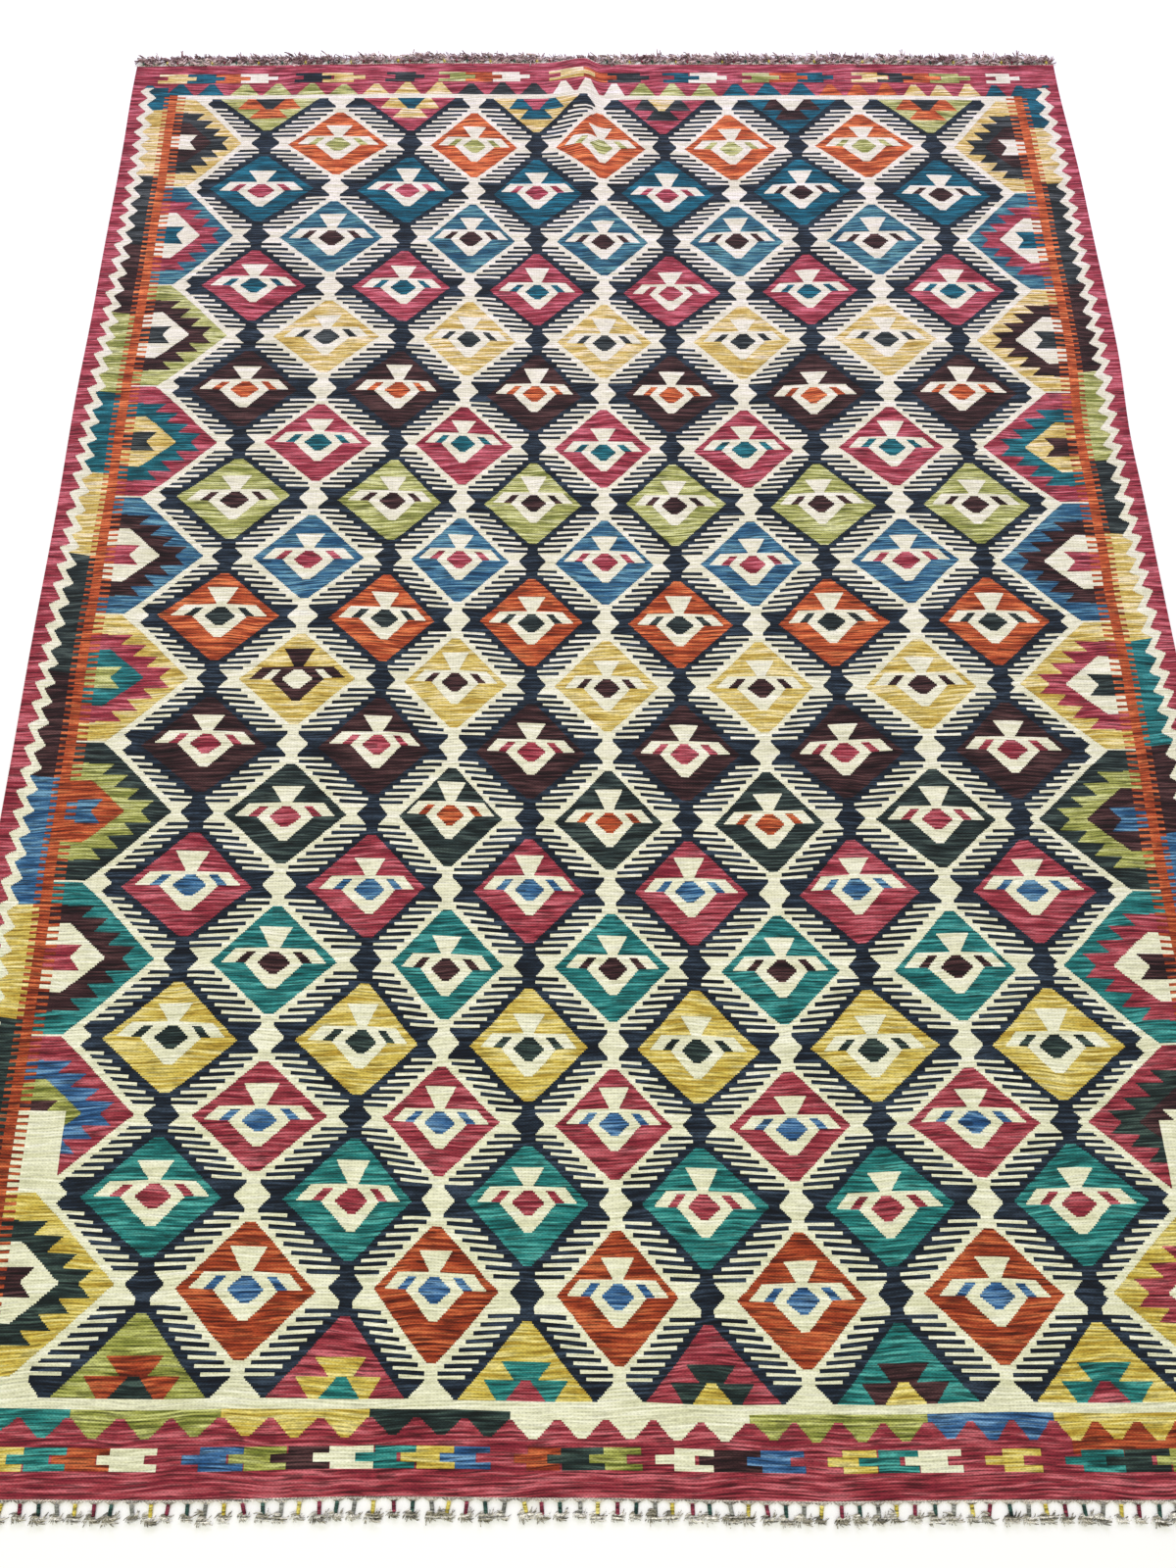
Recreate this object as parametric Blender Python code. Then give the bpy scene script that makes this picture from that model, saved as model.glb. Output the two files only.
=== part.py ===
"""A flat-woven kilim rug that lies on a floor, with a knotted fringe at each end.

Metres, +Z up. +X is the rug's right and +Y its far end, where the cloth stands up in one low ridge. The origin is
the centre of the rug's box at floor level. The cloth is first laid out in its own coordinates: "across" runs from
the left edge to the right, and "down" from the far edge to the near one. cloth_point() turns those into a place on
the floor, with the uneven outline and the ridge in it.
"""

import math
import random
from collections import namedtuple

import bmesh
import bpy
from mathutils import Vector

# The woven panel
PANEL_WIDTH = 1.700
PANEL_LENGTH = 2.312
CLOTH_THICKNESS = 0.003
EDGE_WANDER = 0.0012  # how far a woven edge strays to each side of its own line
WANDER_LENGTHS = (0.62, 0.37)  # the two lengths on which it strays

# How far each edge stands out of the plain rectangle, at shares of its run. The end edges run from left to right,
# and the side edges from the far end to the near one.
EdgePoint = namedtuple("EdgePoint", "share out")
FAR_EDGE = (
    EdgePoint(0.00, 0.006),
    EdgePoint(0.36, 0.009),
    EdgePoint(0.55, 0.003),
    EdgePoint(0.80, 0.000),
    EdgePoint(1.00, -0.006),
)
NEAR_EDGE = (
    EdgePoint(0.00, -0.005),
    EdgePoint(0.31, -0.005),
    EdgePoint(0.77, 0.005),
    EdgePoint(1.00, 0.005),
)
LEFT_EDGE = (
    EdgePoint(0.00, 0.000),
    EdgePoint(0.45, 0.003),
    EdgePoint(1.00, 0.000),
)
RIGHT_EDGE = (
    EdgePoint(0.00, 0.000),
    EdgePoint(0.14, 0.008),
    EdgePoint(0.28, 0.008),
    EdgePoint(0.38, 0.000),
    EdgePoint(1.00, 0.001),
)

# The ridge, where the cloth doesn't lie down at its far end
RIDGE_ACROSS = 0.831  # its crest, from the left edge
RIDGE_HEIGHT = 0.013
RIDGE_FULL = 0.180  # it keeps its height this far from the far edge
RIDGE_END = 0.400  # and has died away here
RIDGE_LEFT_FLANK = 0.075
RIDGE_LEFT_TAIL = 0.200  # the gentle lift beyond the left flank
RIDGE_TAIL_SHARE = 0.25  # how much of the height belongs to that lift
RIDGE_RIGHT_FLANK = 0.030

# The twined edge line that backs each fringe, and the bundles on it
SEAM_GAP = 0.0003
STRIP_WIDTH = 0.004
STRIP_HEIGHT = 0.0026
BUNDLE_PITCH = 0.0215
BUNDLE_ROOT_WIDTH = 0.0045
TUFT_LEAN = 0.0025  # how far a tuft strays sideways
LENGTH_SPREAD = 0.10  # how much longer or shorter a bundle is than its neighbours

# A bundle's sections, from the strip outwards. "lift" is how much of the strip's own height above the floor the
# section keeps, and "lean" is how much of the bundle's sideways stray it has.
Section = namedtuple("Section", "out width height lift lean")
BUNDLE = (
    Section(out=0.014, width=0.0044, height=0.0036, lift=0.30, lean=0.5),
    Section(out=0.018, width=0.0120, height=0.0066, lift=0.00, lean=0.8),
    Section(out=0.026, width=0.0105, height=0.0030, lift=0.00, lean=1.0),
)

SEED = 17

MADDER_RED = (0.392, 0.042, 0.077)
WARP_GREY = (0.270, 0.254, 0.201)
WOOL_ROUGHNESS = 0.9


def smooth(share):
    """A step from 0 to 1 that starts and ends level."""
    share = min(max(share, 0.0), 1.0)
    return share * share * (3.0 - 2.0 * share)


def bump(distance, reach):
    """A rounded hump, 1 in the middle and 0 from reach outwards."""
    if abs(distance) >= reach:
        return 0.0
    return math.cos(0.5 * math.pi * distance / reach) ** 2


def along_table(table, share):
    """The outward offset of an edge at a share of its run, eased from row to row."""
    for before, after in zip(table, table[1:]):
        if share <= after.share:
            step = smooth((share - before.share) / (after.share - before.share))
            return before.out + (after.out - before.out) * step
    return table[-1].out


def wander(distance, phase):
    """The small stray of a woven edge from its own line."""
    waves = (math.sin(2.0 * math.pi * distance / length + phase * (1 + number)) for number, length in
             enumerate(WANDER_LENGTHS))
    return EDGE_WANDER * sum(waves) / len(WANDER_LENGTHS)


def lift(across, down):
    """How high the ridge holds the cloth's underside above the floor."""
    from_crest = across - RIDGE_ACROSS
    if from_crest > 0.0:
        profile = bump(from_crest, RIDGE_RIGHT_FLANK)
    else:
        profile = (1.0 - RIDGE_TAIL_SHARE) * bump(from_crest, RIDGE_LEFT_FLANK)
        profile += RIDGE_TAIL_SHARE * bump(from_crest, RIDGE_LEFT_TAIL)
    fading = smooth((down - RIDGE_FULL) / (RIDGE_END - RIDGE_FULL))
    return RIDGE_HEIGHT * profile * (1.0 - fading)


def cloth_point(across, down):
    """The cloth's underside at its own coordinates, on the floor."""
    rightward = across / PANEL_WIDTH
    nearward = down / PANEL_LENGTH
    left_out = along_table(LEFT_EDGE, nearward) + wander(down, 0.4)
    right_out = along_table(RIGHT_EDGE, nearward) + wander(down, 1.9)
    far_out = along_table(FAR_EDGE, rightward) + wander(across, 2.7)
    near_out = along_table(NEAR_EDGE, rightward) + wander(across, 4.2)
    x = across - 0.5 * PANEL_WIDTH - left_out * (1.0 - rightward) + right_out * rightward
    y = 0.5 * PANEL_LENGTH - down + far_out * (1.0 - nearward) - near_out * nearward
    return Vector((x, y, lift(across, down)))


def stations(*runs):
    """Places along one direction: each run is (start, end, steps), and it starts where the last one ended."""
    places = [runs[0][0]]
    for start, end, steps in runs:
        places += [start + (end - start) * step / steps for step in range(1, steps + 1)]
    return places


def panel_columns():
    """The panel's mesh lines across it, closest together on the ridge."""
    tail = RIDGE_ACROSS - RIDGE_LEFT_TAIL
    flank = RIDGE_ACROSS - RIDGE_LEFT_FLANK
    foot = RIDGE_ACROSS + RIDGE_RIGHT_FLANK
    return stations((0.0, tail, 8), (tail, flank, 3), (flank, RIDGE_ACROSS, 6), (RIDGE_ACROSS, foot, 5),
                    (foot, PANEL_WIDTH, 10))


def panel_rows():
    """The panel's mesh lines down it, closest together where the ridge dies away."""
    return stations((0.0, RIDGE_FULL, 4), (RIDGE_FULL, RIDGE_END, 9), (RIDGE_END, PANEL_LENGTH, 18))


def wool_material(name, colour):
    material = bpy.data.materials.new(name)
    material.use_nodes = True
    shader = material.node_tree.nodes["Principled BSDF"]
    shader.inputs["Base Color"].default_value = (*colour, 1.0)
    shader.inputs["Roughness"].default_value = WOOL_ROUGHNESS
    shader.inputs["Metallic"].default_value = 0.0
    return material


def add_object(name, bm, material):
    mesh = bpy.data.meshes.new(name)
    bm.to_mesh(mesh)
    bm.free()
    mesh.materials.append(material)
    obj = bpy.data.objects.new(name, mesh)
    bpy.context.scene.collection.objects.link(obj)
    return obj


def make_panel():
    """The woven cloth: its underside as a grid of faces that look up, thickened that way."""
    bm = bmesh.new()
    columns = panel_columns()
    rows = [[bm.verts.new(cloth_point(across, down)) for across in columns] for down in panel_rows()]
    for far_row, near_row in zip(rows, rows[1:]):
        for column in range(len(columns) - 1):
            corners = (near_row[column], near_row[column + 1], far_row[column + 1], far_row[column])
            bm.faces.new(corners)
    panel = add_object("kilim_panel", bm, wool_material("madder_red_wool", MADDER_RED))
    thickness = panel.modifiers.new("cloth_thickness", "SOLIDIFY")
    thickness.thickness = CLOTH_THICKNESS
    thickness.offset = 1.0
    return panel


def edge_point(across, down, columns):
    """The panel's end edge as its mesh has it, straight from column to column, so that the strip keeps its gap."""
    right = next(number for number in range(1, len(columns)) if across <= columns[number])
    left = right - 1
    share = (across - columns[left]) / (columns[right] - columns[left])
    return cloth_point(columns[left], down).lerp(cloth_point(columns[right], down), share)


def bundle_places():
    """Where the bundles stand along an end edge, evenly from side to side."""
    count = int(PANEL_WIDTH / BUNDLE_PITCH)
    return [PANEL_WIDTH * (number + 0.5) / count for number in range(count)]


def strip_section(bm, edge, outward):
    """The strip's four corners at one place: outer low, outer high, inner high, inner low."""
    inner = edge.y + outward * SEAM_GAP
    outer = inner + outward * STRIP_WIDTH
    low = edge.z
    high = low + STRIP_HEIGHT
    return [bm.verts.new((edge.x, y, z)) for y, z in ((outer, low), (outer, high), (inner, high), (inner, low))]


def grow_bundle(bm, root, outward, randomness):
    """Extrudes one bundle out of the strip's root face, section by section, down to the floor."""
    corners = [vert.co for vert in root.verts]
    middle = sum(corners, Vector()) / len(corners)
    held = min(corner.z for corner in corners)
    stray = randomness.uniform(-TUFT_LEAN, TUFT_LEAN)
    stretch = 1.0 + randomness.uniform(-LENGTH_SPREAD, LENGTH_SPREAD)
    for section in BUNDLE:
        root = bmesh.ops.extrude_discrete_faces(bm, faces=[root])["faces"][0]
        centre_x = middle.x + stray * section.lean
        left = centre_x - 0.5 * section.width
        right = centre_x + 0.5 * section.width
        y = middle.y + outward * section.out * stretch
        low = held * section.lift
        high = low + section.height
        for vert, place in zip(root.verts, ((left, y, low), (right, y, low), (right, y, high), (left, y, high))):
            vert.co = place


def make_fringe(name, down, outward):
    """One end's twined strip with its bundles, as one closed body. outward is the sign of Y away from the cloth."""
    randomness = random.Random(SEED)
    bm = bmesh.new()
    columns = panel_columns()
    half_root = 0.5 * BUNDLE_ROOT_WIDTH
    cuts = [0.0, PANEL_WIDTH]
    for place in bundle_places():
        cuts += [place - half_root, place + half_root]
    sections = [strip_section(bm, edge_point(cut, down, columns), outward) for cut in sorted(cuts)]
    roots = []
    for number, (left, right) in enumerate(zip(sections, sections[1:])):
        outer = bm.faces.new((left[0], right[0], right[1], left[1]))
        for corner, following in ((1, 2), (2, 3), (3, 0)):
            bm.faces.new((left[corner], right[corner], right[following], left[following]))
        if number % 2 == 1:
            roots.append(outer)
    bm.faces.new(sections[0])
    bm.faces.new(sections[-1])
    for root in roots:
        grow_bundle(bm, root, outward, randomness)
    bmesh.ops.recalc_face_normals(bm, faces=bm.faces)
    return add_object(name, bm, wool_material("warp_grey_wool", WARP_GREY))


def centre_over_origin(objects):
    """Moves the rug as a whole, so that the origin is the centre of its box."""
    points = [vert.co for obj in objects for vert in obj.data.vertices]
    centre_x = 0.5 * (min(point.x for point in points) + max(point.x for point in points))
    centre_y = 0.5 * (min(point.y for point in points) + max(point.y for point in points))
    for obj in objects:
        obj.location = (-centre_x, -centre_y, 0.0)


def main():
    for obj in list(bpy.data.objects):
        bpy.data.objects.remove(obj, do_unlink=True)
    panel = make_panel()
    far_fringe = make_fringe("fringe_far", 0.0, 1.0)
    near_fringe = make_fringe("fringe_near", PANEL_LENGTH, -1.0)
    centre_over_origin([panel, far_fringe, near_fringe])


main()
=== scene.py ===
# %% [markdown]
# # A flat-woven kilim rug
# A kilim has no pile. Its pattern is the weft itself: wool in ten dyed colours is packed so tightly over
# the warps that the warps disappear, and each colour turns back where its own area ends. This lesson builds
# the rug the same way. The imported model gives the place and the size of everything, a chart says which yarn
# covers which warps in each row, and every yarn becomes one mesh of its own.

import math
import random
from bisect import bisect_left, bisect_right
from collections import namedtuple

import bpy
import numpy as np
from mathutils import Matrix, Vector, noise


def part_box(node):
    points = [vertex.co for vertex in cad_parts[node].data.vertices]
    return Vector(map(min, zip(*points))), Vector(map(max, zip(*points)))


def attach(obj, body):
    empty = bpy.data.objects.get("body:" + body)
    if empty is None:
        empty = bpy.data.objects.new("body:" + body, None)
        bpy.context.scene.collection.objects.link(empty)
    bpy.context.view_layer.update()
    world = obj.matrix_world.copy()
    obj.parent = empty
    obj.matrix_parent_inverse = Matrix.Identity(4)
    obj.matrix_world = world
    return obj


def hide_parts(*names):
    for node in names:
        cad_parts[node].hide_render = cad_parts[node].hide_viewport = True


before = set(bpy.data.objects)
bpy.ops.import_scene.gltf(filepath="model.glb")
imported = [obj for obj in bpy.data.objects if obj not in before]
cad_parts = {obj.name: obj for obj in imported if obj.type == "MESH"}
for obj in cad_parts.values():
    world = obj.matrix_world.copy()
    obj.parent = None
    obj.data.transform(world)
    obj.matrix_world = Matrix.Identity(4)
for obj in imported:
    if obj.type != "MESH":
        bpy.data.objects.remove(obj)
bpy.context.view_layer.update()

# %% [markdown]
# ## How the cloth lies
# The cloth is laid out in its own coordinates, as a weaver sees it on the loom: "across" from the left
# selvedge and "down" from the far edge, in metres. cloth_point() turns them into a place on the floor. It
# holds what the solids hold, the uneven outline and the low ridge at the far end. To these it adds what is
# too fine for a solid: a faint crease down the middle, where the rug was once folded, and the small swells
# of cloth that has been rolled up.

# %% The cloth's outline and its ridge
PANEL_WIDTH = 1.700
PANEL_LENGTH = 2.312
CLOTH_THICKNESS = 0.003
EDGE_WANDER = 0.0012
WANDER_LENGTHS = (0.62, 0.37)
LEFT_PHASE, RIGHT_PHASE, FAR_PHASE, NEAR_PHASE = 0.4, 1.9, 2.7, 4.2
EDGE_STEPS = 200
RIDGE_ACROSS = 0.831
RIDGE_HEIGHT = 0.013
RIDGE_FULL = 0.180
RIDGE_END = 0.400
RIDGE_LEFT_FLANK = 0.075
RIDGE_LEFT_TAIL = 0.200
RIDGE_TAIL_SHARE = 0.25
RIDGE_RIGHT_FLANK = 0.030
CREASE_ACROSS = 0.856
CREASE_HEIGHT = 0.0014
CREASE_REACH = 0.012
CREASE_END = 1.25
SWELL_HEIGHT = 0.0030
SWELL_LENGTH = 0.21
# Blender's noise fills a solid block. Each unevenness of the cloth reads a slice of its own, so that none
# repeats another.
SWELL_SLICE = 3.7


def table_of(kind, *rows):
    """A short table whose rows have named values."""
    return [kind(*row) for row in rows]


# How far each edge stands out of the plain rectangle, at shares of its run.
Offset = namedtuple("Offset", "share out")
FAR_EDGE = table_of(Offset, (0.0, 0.006), (0.36, 0.009), (0.55, 0.003), (0.8, 0.0), (1.0, -0.006))
NEAR_EDGE = table_of(Offset, (0.0, -0.005), (0.31, -0.005), (0.77, 0.005), (1.0, 0.005))
LEFT_EDGE = table_of(Offset, (0.0, 0.0), (0.45, 0.003), (1.0, 0.0))
RIGHT_EDGE = table_of(Offset, (0.0, 0.0), (0.14, 0.008), (0.28, 0.008), (0.38, 0.0), (1.0, 0.001))


# %% Where a point of the cloth lies
def smooth(share):
    """A step from 0 to 1 that starts and ends level."""
    share = min(max(share, 0.0), 1.0)
    return share * share * (3.0 - 2.0 * share)


def bump(distance, reach):
    """A rounded hump, 1 in the middle and 0 from reach outwards."""
    if abs(distance) >= reach:
        return 0.0
    return math.cos(0.5 * math.pi * distance / reach) ** 2


def along_table(table, share):
    """The offset at a share of an edge's run, eased from row to row of its table."""
    for before, after in zip(table, table[1:]):
        if share <= after.share:
            part = (share - before.share) / (after.share - before.share)
            return before.out + (after.out - before.out) * smooth(part)
    return table[-1].out


def wander(distance, phase):
    """How far a woven edge strays from its own line: two long waves."""
    waves = [math.sin(2.0 * math.pi * distance / length + phase * (1 + number))
             for number, length in enumerate(WANDER_LENGTHS)]
    return EDGE_WANDER * sum(waves) / len(waves)


def lift(across, down):
    """How high the ridge holds the cloth's underside above the floor."""
    from_crest = across - RIDGE_ACROSS
    if from_crest > 0.0:
        profile = bump(from_crest, RIDGE_RIGHT_FLANK)
    else:
        profile = (1.0 - RIDGE_TAIL_SHARE) * bump(from_crest, RIDGE_LEFT_FLANK)
        profile += RIDGE_TAIL_SHARE * bump(from_crest, RIDGE_LEFT_TAIL)
    return RIDGE_HEIGHT * profile * (1.0 - smooth((down - RIDGE_FULL) / (RIDGE_END - RIDGE_FULL)))


def swell(across, down):
    """The fine relief that the solid leaves out: the old fold's crease, and the swells. Never below 0."""
    crease = CREASE_HEIGHT * bump(across - CREASE_ACROSS, CREASE_REACH) * (1.0 - smooth(down / CREASE_END))
    rolling = max(0.0, noise.noise(Vector((across / SWELL_LENGTH, down / SWELL_LENGTH, SWELL_SLICE))))
    return crease + SWELL_HEIGHT * rolling


def cloth_point(across, down):
    """The cloth's underside at its own coordinates, before the whole rug is centred."""
    rightward = across / PANEL_WIDTH
    nearward = down / PANEL_LENGTH
    left_out = along_table(LEFT_EDGE, nearward) + wander(down, LEFT_PHASE)
    right_out = along_table(RIGHT_EDGE, nearward) + wander(down, RIGHT_PHASE)
    far_out = along_table(FAR_EDGE, rightward) + wander(across, FAR_PHASE)
    near_out = along_table(NEAR_EDGE, rightward) + wander(across, NEAR_PHASE)
    x = across - 0.5 * PANEL_WIDTH - left_out * (1.0 - rightward) + right_out * rightward
    y = 0.5 * PANEL_LENGTH - down + far_out * (1.0 - nearward) - near_out * nearward
    return Vector((x, y, lift(across, down)))


def centring():
    """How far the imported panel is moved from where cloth_point() has it."""
    sides = [cloth_point(across, PANEL_LENGTH * step / EDGE_STEPS).x
             for across in (0.0, PANEL_WIDTH) for step in range(EDGE_STEPS + 1)]
    ends = [cloth_point(PANEL_WIDTH * step / EDGE_STEPS, down).y
            for down in (0.0, PANEL_LENGTH) for step in range(EDGE_STEPS + 1)]
    low, high = (Vector(corner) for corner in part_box("kilim_panel"))
    to_the_right = 0.5 * (low.x + high.x - min(sides) - max(sides))
    to_the_far_end = 0.5 * (low.y + high.y - min(ends) - max(ends))
    return Vector((to_the_right, to_the_far_end, 0.0))


CENTRING = centring()
print("the rug is centred by", [round(1000.0 * value, 2) for value in CENTRING], "mm")

# %% [markdown]
# ## The yarns
# Ten yarns cover the warps. The hex colours are what each dyed wool looks like in even daylight, with a
# darker and a lighter shade for its streaks: hand-dyed wool takes the dye unevenly, and weavers call the
# bands this leaves abrash.

# %% Yarn colours
Yarn = namedtuple("Yarn", "name dark middle light")
YARNS = [
    Yarn("madder_red", "#741B2A", "#9B3942", "#C66870"),
    Yarn("undyed_cream", "#D2D2AC", "#E5E5C4", "#F5F5DE"),
    Yarn("indigo_navy", "#08101B", "#172330", "#344252"),
    Yarn("teal", "#0B504E", "#1F7A75", "#50A69C"),
    Yarn("sky_blue", "#1B4470", "#386594", "#729CC0"),
    Yarn("weld_yellow", "#AC8E2E", "#CFBA52", "#E8DA8C"),
    Yarn("leaf_green", "#6A722A", "#9DA04C", "#C4C87C"),
    Yarn("forest_green", "#0E1A18", "#20302E", "#44584F"),
    Yarn("rust_orange", "#702510", "#A24121", "#CC6E40"),
    Yarn("aubergine", "#1A0A0F", "#351C1F", "#583A3A"),
]
RED, CREAM, NAVY, TEAL, BLUE, YELLOW, LEAF, FOREST, ORANGE, AUBERGINE = range(len(YARNS))

# %% [markdown]
# ## The chart
# A weaver counts. Across, the unit is the warp, 2.55 mm here, and the lattice repeats every 44 warps. Down,
# the unit is a row: one tooth of the ladders between the diamonds, 4.77 mm of packed weft. A slanting edge
# moves by one warp in every half row, so the chart is squared paper with a line for each half row. Each
# motif is a function that writes its spans of yarn onto it.

# %% Squared paper
ROWS = 485
HALF_ROWS = 2 * ROWS
ROW_HEIGHT = PANEL_LENGTH / ROWS
SQUARES_PER_MM = 2
WIDTH_MM = 1000.0 * PANEL_WIDTH
chart = np.full((HALF_ROWS, round(WIDTH_MM) * SQUARES_PER_MM), RED, np.int8)


def middle_of(half_row):
    """A half row's middle, counted in rows."""
    return 0.5 * half_row + 0.25


def cover(half_row, start, end, yarn):
    """Covers the warps of a half row from start to end, in millimetres from the left selvedge."""
    if 0 <= half_row < HALF_ROWS and end > start:
        chart[half_row, max(0, round(start * SQUARES_PER_MM)):max(0, round(end * SQUARES_PER_MM))] = yarn


def cover_row(row, start, end, yarn):
    cover(2 * row, start, end, yarn)
    cover(2 * row + 1, start, end, yarn)


# %% [markdown]
# ## The lattice
# Thirteen columns stand across the field. The odd ones carry the diamonds of the rows with six, the even
# ones those of the rows with five, and the first and the last hold the half motifs of the sides. The weaver
# packed the sides more loosely than the middle, and more so at the far end, so a small table gives each
# column's place at both ends.

# %% Columns and lattice rows
Column = namedtuple("Column", "far near")
COLUMNS = table_of(
    Column, (125, 143), (255, 276), (385, 400), (514, 524), (628, 631), (741, 744), (856, 855),
    (969, 964), (1088, 1081), (1204, 1193), (1326, 1317), (1450, 1434), (1577, 1562))
# The columns move over from their far places to their near ones between these rows.
SETTLING_START = 40
SETTLING_ROWS = 150
HALF_REPEAT = 44
LATTICE_START = 18
LATTICE_ROWS = 22
LAST_LATTICE_ROW = 20
FIELD_LEFT = 100.0
FIELD_RIGHT = 1600.0
FIELD_END = 463


def from_far_to_near(column, row):
    """The place at a row of what runs along the rug, in millimetres from the selvedge it is counted from."""
    return column.far + (column.near - column.far) * smooth((row - SETTLING_START) / SETTLING_ROWS)


def column_place(column, row):
    return from_far_to_near(COLUMNS[column], row)


def warp_place(column, warps, row):
    """The place some warps to the right of a column, where a repeat fills the way to the next one."""
    onward = column + (1 if warps > 0 else -1)
    if not 0 <= onward < len(COLUMNS):
        onward = 2 * column - onward
    here = column_place(column, row)
    return here + warps * abs(column_place(onward, row) - here) / HALF_REPEAT


def span(half_row, column, start, end, yarn):
    """Covers the warps from start to end, counted from a column, inside the field."""
    row = 0.5 * half_row
    left = max(warp_place(column, start, row), FIELD_LEFT)
    right = min(warp_place(column, end, row), FIELD_RIGHT)
    cover(half_row, left, right, yarn)


def half_rows_round(centre, reach):
    """The half rows within reach rows of a row's middle, each with its signed distance in rows."""
    first = max(2 * LATTICE_START, 2 * (centre - reach))
    past_last = min(2 * FIELD_END, 2 * (centre + reach + 1))
    for half_row in range(first, past_last):
        yield half_row, middle_of(half_row) - (centre + 0.5)


# %% The ladders
# How many rows are one solid colour on each side of a hexagon's middle.
FLANK_NAVY = 4
FLANK_CREAM = 3
# The near end has a solid flank of its own, and this many rows of teeth before it.
LAST_FLANK = 5
LAST_TEETH = 16


def ladder_yarn(from_six):
    """The yarn between the bands: solid beside a hexagon, and by turns in the teeth of the ladder."""
    if from_six <= FLANK_NAVY:
        return NAVY
    if from_six >= LATTICE_ROWS - FLANK_CREAM:
        return CREAM
    return CREAM if from_six % 2 else NAVY


def last_ladder_yarn(from_end):
    """The same at the near end. from_end counts rows from the field's end."""
    if from_end < LAST_FLANK:
        return NAVY
    return CREAM if from_end >= LAST_FLANK + LAST_TEETH or (from_end - LAST_FLANK) % 2 == 0 else NAVY


LAST_MIDDLE = LATTICE_START + LATTICE_ROWS * (LAST_LATTICE_ROW - 1)
for row in range(LATTICE_START, LAST_MIDDLE):
    phase = (row - LATTICE_START) % (2 * LATTICE_ROWS)
    cover_row(row, FIELD_LEFT, FIELD_RIGHT, ladder_yarn(min(phase, 2 * LATTICE_ROWS - phase)))
for row in range(LAST_MIDDLE, FIELD_END):
    cover_row(row, FIELD_LEFT, FIELD_RIGHT, last_ladder_yarn(FIELD_END - 1 - row))

# %% [markdown]
# ## Diamonds and birds
# Every diamond holds the same small bird, a crown over two wings with a heart between them. It is a common
# old motif. No two come out alike, because the weaver counts by eye: the widest row moves up or down, a
# band gains or loses a warp, and the bird sits higher or lower. A seeded Hand gives each diamond its own
# small differences.

# %% A diamond's outline
DIAMOND_REACH = 15.0
WIDEST = 30.6
APEX = 2.0
NECK = 3.1
HEXAGON_WIDEST = 8.4
HEXAGON_SLOPE = 1.5
# No band is woven within this many rows of a hexagon's middle.
NECK_ROWS = 4.0
BAND = {NAVY: 5.2, CREAM: 4.6}
# The usual difference and its spread: in rows for the tips, in warps for the width and both bands, and in
# rows for the bird. One crown in three is a row taller.
Hand = namedtuple("Hand", "tips wide left right bird crown")
HAND_SPREADS = ((0.6, 0.45), (0.0, 0.5), (0.5, 0.6), (-0.2, 0.5), (0.0, 0.4))
TALLER_CROWN = (0, 0, 1)
weaver = random.Random(31)


def new_hand():
    differences = [weaver.gauss(usual, spread) for usual, spread in HAND_SPREADS]
    return Hand(*differences, crown=weaver.choice(TALLER_CROWN))


def diamond_half(distance, hand, longer=0.0):
    """A diamond's half width in warps, some rows below its middle. Its tips lie a little below the middle."""
    past = distance - hand.tips
    run = DIAMOND_REACH + (hand.tips if past < 0.0 else longer - hand.tips)
    return WIDEST + hand.wide - (WIDEST + hand.wide - APEX) * abs(past) / run


def hexagon_half(from_its_middle):
    return max(NECK, HEXAGON_WIDEST - HEXAGON_SLOPE * abs(from_its_middle))


def weave_band(centre, column, yarn, hand, longer):
    """The band round a diamond, the neck above and below it, and half of each hexagon beyond.

    The band steps by whole rows, so that the ladder's teeth end bluntly at it.
    """
    for half_row, distance in half_rows_round(centre, LATTICE_ROWS + math.ceil(longer)):
        half = diamond_half(half_row // 2 - centre, hand, longer)
        beyond = LATTICE_ROWS + (2.0 * longer if distance > 0.0 else 0.0) - abs(distance)
        neck = hexagon_half(beyond)
        banded = beyond > NECK_ROWS
        left = max(neck, half + BAND[yarn] + hand.left) if banded else neck
        right = max(neck, half + BAND[yarn] + hand.right) if banded else neck
        span(half_row, column, -left, right, yarn)


def weave_ground(centre, column, yarn, hand, longer):
    for half_row, distance in half_rows_round(centre, int(DIAMOND_REACH + longer)):
        if -DIAMOND_REACH < distance < DIAMOND_REACH + longer:
            half = diamond_half(distance, hand, longer)
            span(half_row, column, -half, half, yarn)


# %% The bird's chart
# Each shape is a start and an end row, counted from the diamond's middle, and its edges in warps there.
Shape = namedtuple("Shape", "first last inner_first inner_last outer_first outer_last")
CROWN = Shape(-8.5, -3.5, 0, 0, 8.2, 2.5)
WINGS = Shape(-3.5, 0.5, 0, 0, 18.6, 25.0)
BREAST = Shape(0.5, 7.5, 0, 0, 14.2, 1.8)
HEART_TOP = Shape(-2.5, 0.5, 0, 0, 2.0, 8.2)
HEART_TIP = Shape(0.5, 3.5, 0, 0, 8.2, 1.6)
EYE = Shape(-2.5, 0.5, 8.6, 13.6, 13.0, 18.4)


def weave_shape(shape, half_row, distance, column, yarn):
    """One half row of a shape, on both sides of its column."""
    if not shape.first < distance < shape.last:
        return
    share = (distance - shape.first) / (shape.last - shape.first)
    inner = shape.inner_first + (shape.inner_last - shape.inner_first) * share
    outer = shape.outer_first + (shape.outer_last - shape.outer_first) * share
    if inner:
        span(half_row, column, -outer, -inner, yarn)
        span(half_row, column, inner, outer, yarn)
    else:
        span(half_row, column, -outer, outer, yarn)


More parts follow.
